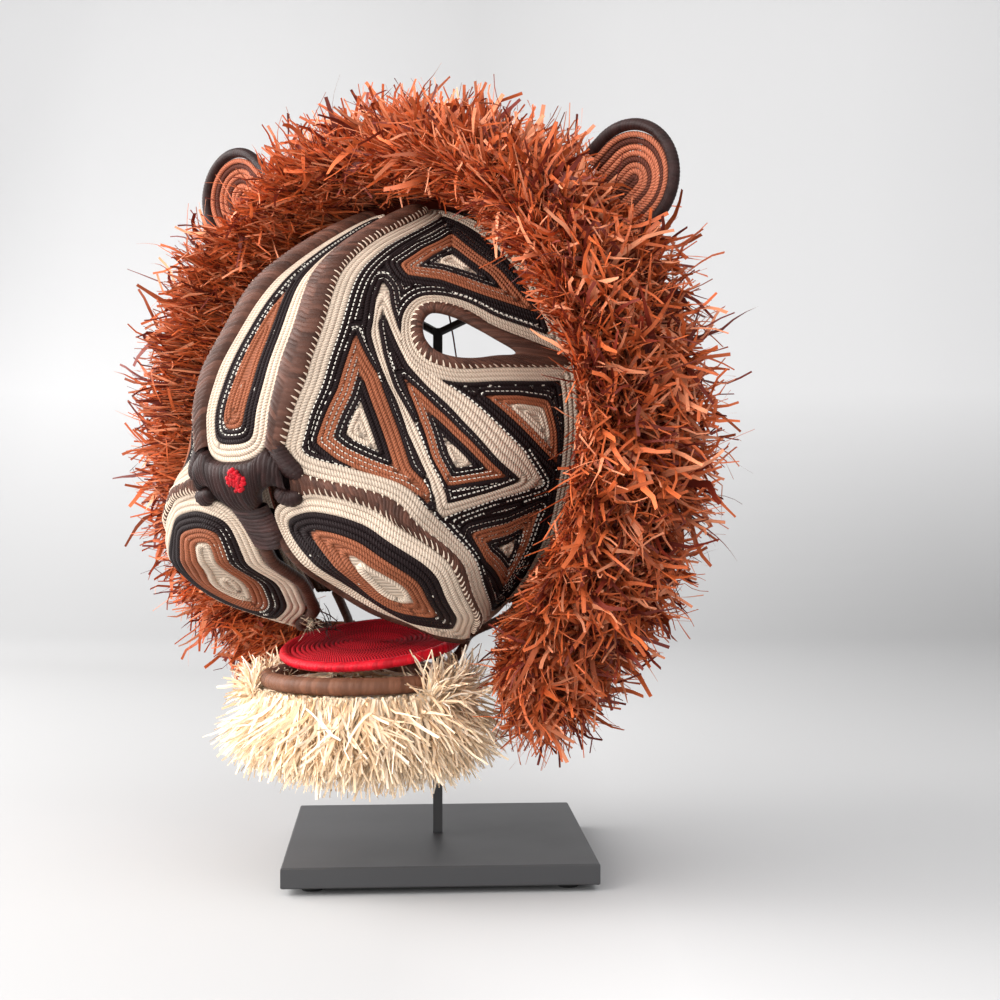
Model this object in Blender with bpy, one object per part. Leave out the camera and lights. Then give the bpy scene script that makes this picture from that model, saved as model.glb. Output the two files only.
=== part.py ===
"""Woven lion mask on a metal display stand, in metres, +Z up, face looking towards -Y.

The tables are in millimetres about the axis of the stand post, z = 0 at the underside of
the feet and +X on the mask's own left. add_solid turns them into metres and moves them by
MIDDLE, so that the origin is under the middle of the whole.
"""

import math

import bmesh
import bpy
import numpy as np
from mathutils import Vector, geometry

PANEL = 3.0  # wall of the coiled panels
GAP = 0.35  # clearance between neighbouring pieces
SEAM = 0.7  # the same beside a wrapped strip, whose edges round a corner
GRID = 12.5  # facet size of the panels
FINE = 12  # steps between two points of a table when a curve is read from it
SPREAD = 34.0  # millimetres for one unit of s, only to space the facets
BAND_STEPS = 22  # facets along a wrapped strip

MIDDLE = np.array([0.7, 22.5, 0.0])

# Colours, linear
CREAM = (0.72, 0.62, 0.46)
BLACK = (0.035, 0.025, 0.022)
BROWN = (0.10, 0.045, 0.025)
LIP_BROWN = (0.13, 0.06, 0.03)
COLLAR_BROWN = (0.12, 0.06, 0.035)
EAR_RUST = (0.35, 0.12, 0.06)
EAR_DARK = (0.05, 0.03, 0.025)
MANE_RUST = (0.42, 0.13, 0.05)
BEARD_CREAM = (0.78, 0.66, 0.42)
TONGUE_RED = (0.50, 0.02, 0.03)
METAL = (0.03, 0.03, 0.033)
RUBBER = (0.02, 0.02, 0.02)

# Stand
PLATE = 182.0
PLATE_T = 12.0
PLATE_TURN = 42.5  # degrees about Z against the mask
PLATE_EDGE = 0.8  # chamfer
FOOT_H = 4.0
FOOT_TOP_R = 9.0
FOOT_BOTTOM_R = 6.0
FOOT_INSET = 17.0
POST = 5.8
POST_TOP = 331.0
ARM = 5.0
ARM_END = (84.7, 22.0, 362.0)
ARM_ROOT = 3.0  # how far below the post's top the arms leave it

# Level sections of the face on its left half. x1 is the outer edge of the brow ridge,
# x2 the front of the cheek, x3 the side corner and x4 the rim that the mane hangs from.
FACE = (
    # z, y0, x1, y1, x2, y2, x3, y3, x4, y4
    (401, -33, 4, -32, 7, -31, 10, -29.5, 12, -28),
    (395, -49, 18, -46, 26, -41, 33, -34, 38.6, -28),
    (383, -73, 24, -71, 38, -60, 53, -44, 66, -28),
    (361, -109, 30, -107, 48, -90, 73, -58, 94, -28),
    (348, -125, 33, -122, 52, -104, 81, -64, 105, -28),
    (319, -146, 37, -140, 60, -116, 94, -72, 121.6, -28),
    (293, -160, 40, -154, 66, -126, 103, -78, 129, -28),
    (267, -169, 41, -160, 70, -134, 109, -86, 131, -28),
    (245, -170, 42, -160, 73, -141, 111, -98, 128.6, -28),
    (232, -166, 45, -157, 78, -145, 112, -105, 125.3, -28),
    (212, -148, 40, -154, 74, -148, 103, -122, 119, -26),
    (190, -130, 40, -142, 78, -143, 111, -112, 104, -26),
    (175, -104, 32, -112, 72, -127, 107, -102, 91, -27),
    (162, -85, 34, -90, 68, -105, 101, -86, 77, -30),
    (152, -70, 42, -70, 62, -82, 84, -68, 68, -32),
    (143, -56, 52, -52, 60, -54, 68, -48, 62, -38),
)

FACE_BOTTOM = 143
FACE_TOP = 401

# Outlines on the face: s runs 0 at the midline, 1 ridge, 2 cheek, 3 side, 4 rim.
NOSE_EDGE = (
    # s, z
    (0.55, 396), (0.47, 383), (0.43, 368), (0.46, 350), (0.53, 335), (0.59, 318),
    (0.61, 300), (0.62, 280), (0.60, 265), (0.55, 254), (0.42, 248), (0.2, 245.4), (0.0, 245),
)
CHEEK_INNER = (
    # s, z
    (2.2, 396), (1.65, 388), (1.2, 376), (1.06, 362), (1.04, 349), (1.06, 329),
    (1.06, 306), (1.04, 290), (0.96, 276), (0.86, 261), (0.80, 252), (0.84, 246),
)
CHEEK_LOWER = (
    # s, z
    (0.84, 246), (0.95, 240), (1.15, 236.5), (1.45, 234), (1.75, 232), (2.15, 228),
    (2.5, 222), (2.8, 214), (2.98, 204), (3.06, 192), (3.1, 180), (3.14, 166), (3.2, 155),
)
PAD_OUTER = (
    # s, z
    (0.36, 216), (0.52, 221.5), (0.78, 226), (1.05, 228), (1.4, 227), (1.8, 224.5),
    (2.22, 219.5), (2.56, 213), (2.8, 205), (2.92, 195), (2.98, 184), (3.02, 172),
    (3.02, 160), (3.02, 151), (2.98, 145),
)
PAD_INNER = (
    # s, z
    (2.98, 145), (2.4, 145.5), (1.8, 147.5), (1.25, 152), (0.92, 158), (0.74, 166),
    (0.55, 175), (0.42, 185), (0.34, 196), (0.32, 206), (0.36, 216),
)
EYE = (
    # s, z
    (2.44, 318), (2.46, 324), (2.53, 328), (2.64, 328), (2.80, 325), (2.93, 321),
    (3.13, 314.5), (3.36, 306), (3.12, 304), (2.88, 302), (2.71, 302.5), (2.56, 305.5), (2.47, 311.5),
)
EYE_RIM = (
    # s, z
    (2.34, 317.5), (2.36, 326), (2.47, 332.5), (2.64, 333.5), (2.83, 331), (2.99, 326.5),
    (3.20, 319.5), (3.88, 306), (3.88, 299.5), (3.12, 297.5), (2.86, 296.5), (2.67, 297), (2.49, 301),
    (2.38, 308.5),
)
NOSE_TOP = (
    # s, z
    (0.0, 244.7), (0.2, 245), (0.40, 246.8), (0.50, 250.3), (0.58, 251.7), (0.68, 249), (0.76, 246),
    (0.77, 240),
)
NOSE_BOTTOM = (
    # s, z
    (0.0, 219), (0.14, 219), (0.26, 222), (0.36, 229), (0.50, 232.5), (0.62, 232), (0.75, 230),
)

RIM_S = 3.98  # the cheek's outer edge
RIM_CORNER = ((3.3, 153), (3.9, 158), (3.98, 166))
CHEEK_CAP = ((3.9, 398), (3.0, 398.6), (2.5, 397.6))
NOSE_PANEL_TOP = 398.2

# How far the wrapped strips stand out of the face
RIDGE_DOME = 4.5
CREASE_DOME = 2.5
EYE_DOME = 2.5
NOSE_DOME = 6.0
LIP_OUT = 4.6  # from the pad's inner edge to the cord along it
LIP_DEEP = 1.5
LIP_WIDE = 3.9
LIP_HIGH = 3.4

# The collar's line is the rim down to COLLAR_END; the mane stands on it.
COLLAR_T = 3.5
COLLAR_BACK = 28.0
COLLAR_END = 164.0
RIM_MIDDLE = 270
ARCH_FROM = 396  # above this height the rim closes in an arch of this half width
ARCH_HALF = 36
ARCH_TOP = 400.9  # its points above this height are on the midline
MANE_CLEAR = 0.6
MANE_STATIONS = (
    # z on the collar, outward angle, reach, share of the forward flare
    (401, 90, 54, 0.9),
    (399.5, 83, 54, 0.9),
    (395, 75, 54, 0.92),
    (389, 68, 56, 0.94),
    (380, 59, 58, 0.96),
    (370, 51, 61, 1.0),
    (359, 44, 66, 1.0),
    (346, 36, 68, 1.0),
    (331, 27, 70, 1.0),
    (314, 18, 71, 1.0),
    (297, 10, 72, 1.0),
    (280, 3, 72, 1.0),
    (263, -4, 72, 1.0),
    (247, -11, 72, 1.0),
    (231, -19, 72, 1.0),
    (215, -28, 73, 0.96),
    (202, -37, 74, 0.92),
    (190, -46, 75, 0.88),
    (179, -57, 75, 0.76),
    (170, -68, 75, 0.62),
    (164.5, -79, 74, 0.48),
)
MANE_PROFILE = (
    # share of reach, y
    (0.0, -20), (0.24, -54), (0.52, -82), (0.78, -84), (0.90, -54), (0.90, -18),
    (0.78, 16), (0.4, 25), (0.0, 21),
)
LOCK = 15.0
LOCK_LEAN = 0.35
FLARE_FROM = -20  # the mane's forward flare starts in front of this y

# Ears, cupped U shapes with a wrapped rim, cut off level with the mane
EARS = (
    # name, x, z, length below the centre of the arc
    ("left", 159, 402, 13.5),
    ("right", -163, 429, 36.0),
)
EAR_Y = -23.0
EAR_R = 26.0
EAR_CUP = 6.0
EAR_RIM = 3.3
EAR_BASE = 280  # the ears point away from this height on the midline
EAR_CLEAR = 17.0  # bare ring around an ear, in front of EAR_BACK and behind EAR_FRONT
EAR_FRONT = -50
EAR_BACK = 6

# Mouth
TONGUE_Y = -60.0
TONGUE_Z = 138.5
TONGUE_RX = 58.0
TONGUE_RY = 50.0
TONGUE_T = 6.0
TONGUE_TILT = 0.2  # drop per length forwards
LIP_Y = -72.0
LIP_Z = 120.0
LIP_R = 52.0
LIP_TUBE = 5.0
BEARD_PROFILE = (
    # radius, z
    (50, 114.4), (57, 114.4), (66, 106), (71, 93), (71, 79), (61, 75), (51, 80), (47.5, 96),
)
BEARD_HALF = 128.0  # degrees either side of the front
BEARD_LOCK = 11.0
JAW_CORD = (
    # x, y, z
    (77.0, -12.6, 164.0), (66.6, -16.4, 154.6), (50.3, -27.4, 145.2), (47.6, -33.6, 135),
    (44.2, -41.7, 126.4),
)
JAW_CORD_R = 2.8


def steps(a, b, n):
    return [a + (b - a) * i / n for i in range(n + 1)]


def catmull(a, b, c, d, f):
    """Point at share f of the way from b to c on the curve through a, b, c and d."""
    return 0.5 * (2 * b + (c - a) * f + (2 * a - 5 * b + 4 * c - d) * f**2 + (3 * b - a - 3 * c + d) * f**3)


def pchip(xs, ys, xq):
    """Curve through the points that doesn't overshoot them."""
    h = np.diff(xs)
    d = np.diff(ys) / h
    m = np.zeros(len(xs))
    m[0] = d[0]
    m[-1] = d[-1]
    for i in range(1, len(xs) - 1):
        if d[i - 1] * d[i] > 0:
            w1 = 2 * h[i] + h[i - 1]
            w2 = h[i] + 2 * h[i - 1]
            m[i] = (w1 + w2) / (w1 / d[i - 1] + w2 / d[i])
    i = np.clip(np.searchsorted(xs, xq) - 1, 0, len(xs) - 2)
    t = (xq - xs[i]) / h[i]
    a = (2 * t**3 - 3 * t**2 + 1) * ys[i] + (t**3 - 2 * t**2 + t) * h[i] * m[i]
    b = (-2 * t**3 + 3 * t**2) * ys[i + 1] + (t**3 - t**2) * h[i] * m[i + 1]
    return a + b


ROWS = np.array(sorted(FACE), float)


def face(s, z):
    """Points of the face's outer surface; a negative s is the mask's right."""
    s = np.asarray(s, float)
    z = np.asarray(z, float)
    t = np.abs(s)
    cols = [pchip(ROWS[:, 0], ROWS[:, k], np.clip(z, FACE_BOTTOM, FACE_TOP)) for k in range(1, 10)]
    px = [-cols[1], 0 * cols[0], cols[1], cols[3], cols[5], cols[7], 2 * cols[7] - cols[5]]
    py = [cols[2], cols[0], cols[2], cols[4], cols[6], cols[8], 2 * cols[8] - cols[6]]
    i = np.clip(t.astype(int), 0, 3)
    f = t - i
    out = []
    for p in (np.stack(px), np.stack(py)):
        a, b, c, d = (np.take_along_axis(p, (i + k)[None], 0)[0] for k in range(4))
        out.append(catmull(a, b, c, d, f))
    x, y = out
    return np.stack([np.where(s < 0, -x, x), y, z], -1)


def face_frame(s, z):
    """Point, outward unit normal and the two tangents at (s, z)."""
    e = 0.02
    p = face(s, z)
    ps = (face(s + e, z) - face(s - e, z)) / (2 * e)
    z1 = np.clip(z + 1.0, FACE_BOTTOM, FACE_TOP)
    z0 = np.clip(z - 1.0, FACE_BOTTOM, FACE_TOP)
    pz = (face(s, z1) - face(s, z0)) / (z1 - z0)[..., None]
    n = np.cross(ps, pz)
    n /= np.linalg.norm(n, axis=-1)[..., None]
    return p, n, ps, pz


def resample(points, spacing, closed=False):
    """The (s, z) polyline as an even smooth one, spaced in millimetres on the face."""
    p = np.asarray(points, float)
    if closed:
        p = np.vstack([p[-2:], p, p[:3]])
    else:
        p = np.vstack([2 * p[0] - p[1], p, 2 * p[-1] - p[-2]])
    fine = []
    for i in range(1, len(p) - 2):
        a, b, c, d = p[i - 1 : i + 3]
        fine += [catmull(a, b, c, d, k / FINE) for k in range(FINE)]
    if not closed:
        fine.append(p[-2])
    fine = np.array(fine)
    if closed:
        fine = fine[FINE:-FINE]
        fine = np.vstack([fine, fine[:1]])
    xyz = face(fine[:, 0], fine[:, 1])
    length = np.r_[0, np.cumsum(np.linalg.norm(np.diff(xyz, axis=0), axis=1))]
    n = max(3, int(round(length[-1] / spacing)))
    at = np.linspace(0, length[-1], n + 1)
    out = np.stack([np.interp(at, length, fine[:, 0]), np.interp(at, length, fine[:, 1])], 1)
    return out[:-1] if closed else out


def shift(points, distance, closed=True):
    """Moves each point of an (s, z) line to its left, seen from outside, by this many mm."""
    p, n, ps, pz = face_frame(points[:, 0], points[:, 1])
    if closed:
        t = np.roll(p, -1, 0) - np.roll(p, 1, 0)
    else:
        t = np.gradient(p, axis=0)
    t /= np.linalg.norm(t, axis=1)[:, None]
    side = np.cross(n, t) * distance
    a = (ps * ps).sum(1)
    b = (ps * pz).sum(1)
    c = (pz * pz).sum(1)
    u = (ps * side).sum(1)
    v = (pz * side).sum(1)
    det = a * c - b * b
    return points + np.stack([(c * u - b * v) / det, (a * v - b * u) / det], 1)


def add_solid(name, points, faces, colour, roughness=0.6, metallic=0.0, smooth=True):
    """One closed mesh object from millimetre points; faces are turned to look outwards."""
    mesh = bpy.data.meshes.new(name)
    mesh.from_pydata(((np.asarray(points, float) + MIDDLE) / 1000).tolist(), [], faces)
    shape = bmesh.new()
    shape.from_mesh(mesh)
    bmesh.ops.recalc_face_normals(shape, faces=shape.faces)
    if shape.calc_volume(signed=True) < 0:
        bmesh.ops.reverse_faces(shape, faces=shape.faces)
    for f in shape.faces:
        f.smooth = smooth
    shape.to_mesh(mesh)
    shape.free()
    obj = bpy.data.objects.new(name, mesh)
    bpy.context.scene.collection.objects.link(obj)
    material = bpy.data.materials.new(name)
    material.use_nodes = True
    shader = material.node_tree.nodes["Principled BSDF"]
    shader.inputs["Base Color"].default_value = (*colour, 1.0)
    shader.inputs["Roughness"].default_value = roughness
    shader.inputs["Metallic"].default_value = metallic
    mesh.materials.append(material)
    return obj


def inside(poly, pts):
    """Which of the points lie in the polygon."""
    x, y = pts[:, 0], pts[:, 1]
    hit = np.zeros(len(pts), bool)
    for a, b in zip(poly, np.roll(poly, -1, 0)):
        cross = (a[1] > y) != (b[1] > y)
        hit ^= cross & (x < (b[0] - a[0]) * (y - a[1]) / (b[1] - a[1] + 1e-12) + a[0])
    return hit


def panel(name, outline, holes, colour, sign=1):
    """A wall of the face inside an (s, z) outline, less its holes."""
    scale = np.array([SPREAD, 1.0])
    loops = [outline] + list(holes)
    flat = [loop * scale for loop in loops]
    lo, hi = flat[0].min(0), flat[0].max(0)
    grid = []
    for j, v in enumerate(np.arange(lo[1] + GRID * 0.4, hi[1], GRID * 0.87)):
        for u in np.arange(lo[0] + GRID * (0.25 + 0.5 * (j % 2)), hi[0], GRID):
            grid.append((u, v))
    grid = np.array(grid)
    keep = inside(flat[0], grid)
    for hole in flat[1:]:
        keep &= ~inside(hole, grid)
    edge = np.vstack(flat)
    near = np.linalg.norm(grid[:, None] - edge[None], axis=2).min(1)
    grid = grid[keep & (near > GRID * 0.55)]
    pts = np.vstack(flat + [grid])
    edges = []
    start = 0
    for loop in flat:
        n = len(loop)
        edges += [(start + i, start + (i + 1) % n) for i in range(n)]
        start += n
    _, _, tris, orig, _, _ = geometry.delaunay_2d_cdt([Vector(p) for p in pts], edges, [], 0, 1e-5)
    order = [o[0] for o in orig]
    tris = np.array([[order[i] for i in t] for t in tris])
    mid = pts[tris].mean(1)
    good = inside(flat[0], mid)
    for hole in flat[1:]:
        good &= ~inside(hole, mid)
    tris = tris[good]
    s = pts[:, 0] / scale[0] * sign
    front, normal, _, _ = face_frame(s, pts[:, 1])
    back = front - normal * PANEL
    n = len(pts)
    faces = [tuple(t) for t in tris.tolist()]
    faces += [(c + n, b + n, a + n) for a, b, c in tris.tolist()]
    for a, b in edges:
        faces.append((a, b, b + n, a + n))
    return add_solid(name, np.vstack([front, back]), faces, colour)


def band(name, one, two, dome, colour, closed=False, sign=1, across=3, roughness=0.4):
    """A domed strip between two (s, z) lines of equal length, SEAM clear of both."""
    top = []
    for a, b in zip(one, two):
        ends = face([a[0] * sign, b[0] * sign], [a[1], b[1]])
        width = np.linalg.norm(ends[0] - ends[1])
        w0 = min(SEAM / width, 0.3)
        w = np.array(steps(w0, 1 - w0, across))
        s = (a[0] * (1 - w) + b[0] * w) * sign
        z = a[1] * (1 - w) + b[1] * w
        p, n, _, _ = face_frame(s, z)
        high = np.sqrt(np.maximum(0, 1 - (2 * (w - w0) / (1 - 2 * w0) - 1) ** 2))
        rise = min(dome, width * 0.45)
        top.append(np.vstack([p + n * (high * rise)[:, None], (p - n * PANEL)[::-1]]))
    return skin(name, top, colour, closed, roughness)


def skin(name, rings, colour, closed=False, roughness=0.5, metallic=0.0):
    """Joins equal rings of points into one closed solid."""
    m = len(rings[0])
    count = len(rings)
    faces = []
    for i in range(count if closed else count - 1):
        j = (i + 1) % count
        for k in range(m):
            q = (k + 1) % m
            faces.append((i * m + k, i * m + q, j * m + q, j * m + k))
    if not closed:
        faces.append(tuple(range(m)))
        faces.append(tuple((count - 1) * m + k for k in range(m)))
    return add_solid(name, np.vstack(rings), faces, colour, roughness, metallic)


def tube(name, path, normals, wide, high, colour, closed=False, sides=8, roughness=0.4):
    """An oval cord along the path: wide across it, high along the given normals."""
    path = np.asarray(path, float)
    if closed:
        t = np.roll(path, -1, 0) - np.roll(path, 1, 0)
    else:
        t = np.gradient(path, axis=0)
    t /= np.linalg.norm(t, axis=1)[:, None]
    side = np.cross(t, normals)
    side /= np.linalg.norm(side, axis=1)[:, None]
    up = np.cross(side, t)
    rings = []
    for p, a, b in zip(path, side, up):
        angles = [2 * math.pi * k / sides for k in range(sides)]
        rings.append(np.array([p + a * wide * math.cos(q) + b * high * math.sin(q) for q in angles]))
    return skin(name, rings, colour, closed, roughness)


def mirrored(points):
    return points * np.array([-1.0, 1.0])


def build_nose_panel(ridge_in):
    nose_line = np.vstack([ridge_in[:-1], resample(NOSE_EDGE[9:], 7.0)])
    full = np.vstack([nose_line, mirrored(nose_line[:-1][::-1])])
    corner = NOSE_EDGE[0]
    top = resample([corner, (0.0, NOSE_PANEL_TOP), (-corner[0], corner[1])], 5.0)[1:-1]
    panel("nose_panel", np.vstack([full, top[::-1]]), [], CREAM)


def build_nose():
    top = even_open(resample(NOSE_TOP, 2.0), 9)
    bottom = even_open(resample(NOSE_BOTTOM, 2.0), 9)
    top = np.vstack([mirrored(top[1:][::-1]), top])
    bottom = np.vstack([mirrored(bottom[1:][::-1]), bottom])
    band("nose", top, bottom, NOSE_DOME, BLACK, across=6, roughness=0.3)


def build_lip_wrap(side, sign):
    line = shift(resample(PAD_INNER[::-1], 7.0), -LIP_OUT, False)
    p, n, _, _ = face_frame(line[:, 0], line[:, 1])
    mirror = np.array([sign, 1, 1])
    p = p * mirror
    n = n * mirror
    tube("lip_wrap_" + side, p - n * LIP_DEEP, n, LIP_WIDE, LIP_HIGH, BROWN)


def build_face():
    ridge_in = even_open(resample(NOSE_EDGE[:10], 3.0), BAND_STEPS)
    ridge_out = even_open(resample(CHEEK_INNER, 3.0), BAND_STEPS)
    build_nose_panel(ridge_in)

    crease_up = even_open(resample(CHEEK_LOWER, 3.0), BAND_STEPS)
    crease_down = even_open(resample(PAD_OUTER[2:14], 3.0), BAND_STEPS)
    rim = resample(RIM_CORNER, 9.0)[1:]
    side = np.stack([np.full(20, RIM_S), np.linspace(174, 393, 20)], 1)
    cheek = np.vstack([ridge_out[:-1], crease_up, rim, side, resample(CHEEK_CAP, 7.0)])
    eye_in = even(resample(EYE, 5.5, True), BAND_STEPS)
    eye_out = even(resample(EYE_RIM, 5.5, True), BAND_STEPS)

    pad_top = resample(PAD_OUTER[:3], 8.0)
    pad_tip = resample(PAD_OUTER[13:], 8.0)
    pad_in = resample(PAD_INNER, 8.0)
    pad = np.vstack([pad_top[:-1], crease_down, pad_tip[1:-1], pad_in[:-1]])
    for name, sign in (("left", 1), ("right", -1)):
        panel("cheek_" + name, cheek, [eye_out], BLACK, sign=sign)
        band("eye_rim_" + name, eye_in, eye_out, EYE_DOME, BROWN, True, sign=sign)
        band("ridge_wrap_" + name, ridge_in, ridge_out, RIDGE_DOME, BROWN, sign=sign)
        panel("muzzle_pad_" + name, pad, [], CREAM, sign=sign)
        band("cheek_wrap_" + name, crease_up, crease_down, CREASE_DOME, BROWN, sign=sign)
        build_lip_wrap(name, sign)
    build_nose()


def even(points, count):
    """A closed (s, z) line as this many even points, from its first one."""
    loop = np.vstack([points, points[:1]])
    return even_open(loop, count + 1)[:-1]


def even_open(points, count):
    """The open (s, z) line as this many points at even distances on the face."""
    xyz = face(points[:, 0], points[:, 1])
    length = np.r_[0, np.cumsum(np.linalg.norm(np.diff(xyz, axis=0), axis=1))]
    at = np.linspace(0, length[-1], count)
    return np.stack([np.interp(at, length, points[:, 0]), np.interp(at, length, points[:, 1])], 1)


def rim_at(z):
    """The rim's x and y at this height, on the mask's left."""
    z = np.clip(np.asarray(z, float), FACE_BOTTOM, FACE_TOP)
    return pchip(ROWS[:, 0], ROWS[:, 8], z), pchip(ROWS[:, 0], ROWS[:, 9], z)


def arch_x(z):
    """Half width of the arch that closes the rim at its top."""
    return np.sqrt(np.maximum(0, (FACE_TOP - z) / (FACE_TOP - ARCH_FROM))) * ARCH_HALF


def collar_line(count=33):
    """Even points (x, z) along the rim from its left end over the top to its right end."""
    z = np.r_[np.linspace(COLLAR_END, ARCH_FROM, 200), np.linspace(ARCH_FROM + 0.1, FACE_TOP, 60)]
    x, _ = rim_at(z)
    x = np.where(z > ARCH_FROM, arch_x(z), x)
    x[z > ARCH_TOP] = 0.0
    half = np.stack([x, z], 1)
    line = np.vstack([half, mirrored(half[:-1][::-1])])
    length = np.r_[0, np.cumsum(np.linalg.norm(np.diff(line, axis=0), axis=1))]
    at = np.linspace(0, length[-1], count)
    return np.stack([np.interp(at, length, line[:, 0]), np.interp(at, length, line[:, 1])], 1)


def build_collar():
    line = collar_line()
    t = np.gradient(line, axis=0)
    t /= np.linalg.norm(t, axis=1)[:, None]
    out = np.stack([t[:, 1], -t[:, 0]], 1)
    out *= np.sign((out * (line - np.array([0, RIM_MIDDLE]))).sum(1))[:, None]
    _, front = rim_at(line[:, 1])
    rings = []
    for p, q, y in zip(line, out, front):
        a = p - q * 0.2
        b = p - q * COLLAR_T
        y0 = y + 1.2
        corners = ((a, y0), (a, COLLAR_BACK), (b, COLLAR_BACK), (b, y0))
        rings.append(np.array([(at[0], depth, at[1]) for at, depth in corners]))
    skin("collar", rings, COLLAR_BROWN)


def mane_rings():
    """Cross-sections of the mane's body from the left end over the top to the right end."""
    table = np.array(MANE_STATIONS, float)
    x, _ = rim_at(table[:, 0])
    x = np.where(table[:, 0] > ARCH_FROM, arch_x(table[:, 0]), x)
    half = []
    for (z, angle, reach, flare), px in zip(table[::-1], x[::-1]):
        ring = []
        for share, y in MANE_PROFILE:
            d = MANE_CLEAR + share * reach
            yy = y * flare if y < FLARE_FROM else y
            a = math.radians(angle)
            ring.append((px + d * math.cos(a), yy, z + d * math.sin(a)))
        half.append(np.array(ring))
    other = [r * np.array([-1, 1, 1]) for r in half[:-1][::-1]]
    half[-1][:, 0] = 0
    return half + other


def locks(name, rings, tall, lean, colour, first, last, skip):
    """Skins the rings, then draws each outer face out into a tapered lock."""
    obj = skin(name, rings, colour)
    m = len(rings[0])
    cells = (len(rings) - 1) * m
    shape = bmesh.new()
    shape.from_mesh(obj.data)
    shape.faces.ensure_lookup_table()
    chosen = []
    for index in range(cells):
        i, k = divmod(index, m)
        if first <= k < last:
            chosen.append((i, k, shape.faces[index]))
    for i, k, f in chosen:
        centre = np.array(f.calc_center_median()) * 1000 - MIDDLE
        if skip(centre):
            continue
        n = f.normal.copy()
        wave = math.sin(i * 12.9898 + k * 78.233) * 43758.5453
        wave -= math.floor(wave)
        turn = (wave * 7.0) % 1.0 * 2 * math.pi
        tangent = n.orthogonal().normalized()
        across = n.cross(tangent)
        push = tangent * math.cos(turn) + across * math.sin(turn)
        height = tall * (0.7 + 0.6 * wave) / 1000
        grown = bmesh.ops.extrude_face_region(shape, geom=[f])
        tip = [g for g in grown["geom"] if isinstance(g, bmesh.types.BMVert)]
        bmesh.ops.delete(shape, geom=[f], context="FACES_ONLY")
        mid = Vector((0, 0, 0))
        for v in tip:
            mid += v.co
        mid /= len(tip)
        for v in tip:
            v.co = mid + (v.co - mid) * 0.3 + n * height + push * height * lean
    shape.normal_update()
    shape.to_mesh(obj.data)
    shape.free()
    return obj


def near_ear(p):
    for _, x, z, keep in EARS:
        share = 1 - 0.6 * keep / math.hypot(x, z - EAR_BASE)
        off = math.hypot(p[0] - x * share, p[2] - EAR_BASE - (z - EAR_BASE) * share)
        if off < EAR_R + EAR_CLEAR and EAR_FRONT < p[1] < EAR_BACK:
            return True
    return False


def build_mane():
    locks("mane", mane_rings(), LOCK, LOCK_LEAN, MANE_RUST, 1, 7, near_ear)


def build_ears():
    for name, x, z, keep in EARS:
        out = np.array([x, 0.0, z - EAR_BASE])
        out /= np.linalg.norm(out)
        side = np.cross([0, 1, 0], out)
        centre = np.array([x, EAR_Y, z], float)

        def at(h, u, y):
            """A point of the ear: up and across from the arc's centre, and depth."""
            return centre + out * h + side * u + np.array([0.0, y, 0.0])

        rings = []
        for t in steps(0, 1, 10):
            h = -keep + (keep + EAR_R * 0.995) * t
            w = math.sqrt(max(EAR_R**2 - max(h, 0.0) ** 2, 0.2))
            row = []
            for back in (0, 1):
                span = steps(-w, w, 6) if back == 0 else steps(w, -w, 6)
                for u in span:
                    share = min(1.0, (max(h, 0.0) ** 2 + u * u) / EAR_R**2)
                    row.append(at(h, u, EAR_CUP * (1 - share) + back * PANEL))
            rings.append(np.array(row))
        skin("ear_" + name, rings, EAR_RUST, roughness=0.7)
        reach = EAR_R + GAP + EAR_RIM
        low = -keep + 3.5
        path = [at(low, -reach, 1.2), at(low / 2, -reach, 1.2)]
        arc = steps(-math.pi / 2, math.pi / 2, 16)
        path += [at(reach * math.cos(q), reach * math.sin(q), 1.2) for q in arc]
        path += [at(low / 2, reach, 1.2), at(low, reach, 1.2)]
        normals = np.repeat([[0.0, -1.0, 0.0]], len(path), 0)
        tube("ear_rim_" + name, path, normals, EAR_RIM, EAR_RIM, EAR_DARK, sides=6, roughness=0.35)


def build_tongue():
    rings = []
    for share, high in ((0.03, 0), (0.5, 0), (0.95, 0), (1.0, 0.5), (0.95, 1), (0.5, 1), (0.03, 1)):
        ring = []
        for k in range(28):
            q = 2 * math.pi * k / 28
            x = TONGUE_RX * share * math.cos(q)
            y = TONGUE_RY * share * math.sin(q)
            z = TONGUE_Z + y * TONGUE_TILT + TONGUE_T * (0.5 - high)
            ring.append((x, TONGUE_Y + y, z))
        rings.append(np.array(ring))
    skin("tongue", rings, TONGUE_RED)


def build_lip_ring():
    around = [2 * math.pi * k / 30 for k in range(30)]
    path = [(LIP_R * math.cos(q), LIP_Y + LIP_R * math.sin(q), LIP_Z) for q in around]
    tube("lip_ring", path, np.repeat([[0.0, 0.0, 1.0]], 30, 0), LIP_TUBE, LIP_TUBE, LIP_BROWN, True, 8)


def build_jaw_cords():
    for name, sign in (("left", 1), ("right", -1)):
        path = np.array([(sign * x, y, z) for x, y, z in JAW_CORD], float)
        path = np.vstack([2 * path[0] - path[1], path, 2 * path[-1] - path[-2]])
        fine = []
        for t in steps(0, 4, 9):
            i = min(int(t), 3)
            fine.append(catmull(*path[i : i + 4], t - i))
        up = np.repeat([[0.0, 1.0, 0.3]], len(fine), 0)
        tube("jaw_cord_" + name, fine, up, JAW_CORD_R, JAW_CORD_R, LIP_BROWN, sides=6)


def build_beard():
    rings = []
    for q in steps(-BEARD_HALF, BEARD_HALF, 22):
        a = math.radians(q)
        rings.append(np.array([(r * math.sin(a), LIP_Y - r * math.cos(a), z) for r, z in BEARD_PROFILE]))
    locks("beard", rings, BEARD_LOCK, 0.3, BEARD_CREAM, 1, 6, lambda p: False)


def turned(x, y, z):
    """A point of the stand, turned with its plate."""
    c = math.cos(math.radians(PLATE_TURN))
    s = math.sin(math.radians(PLATE_TURN))
    return (x * c - y * s, x * s + y * c, z)


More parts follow.
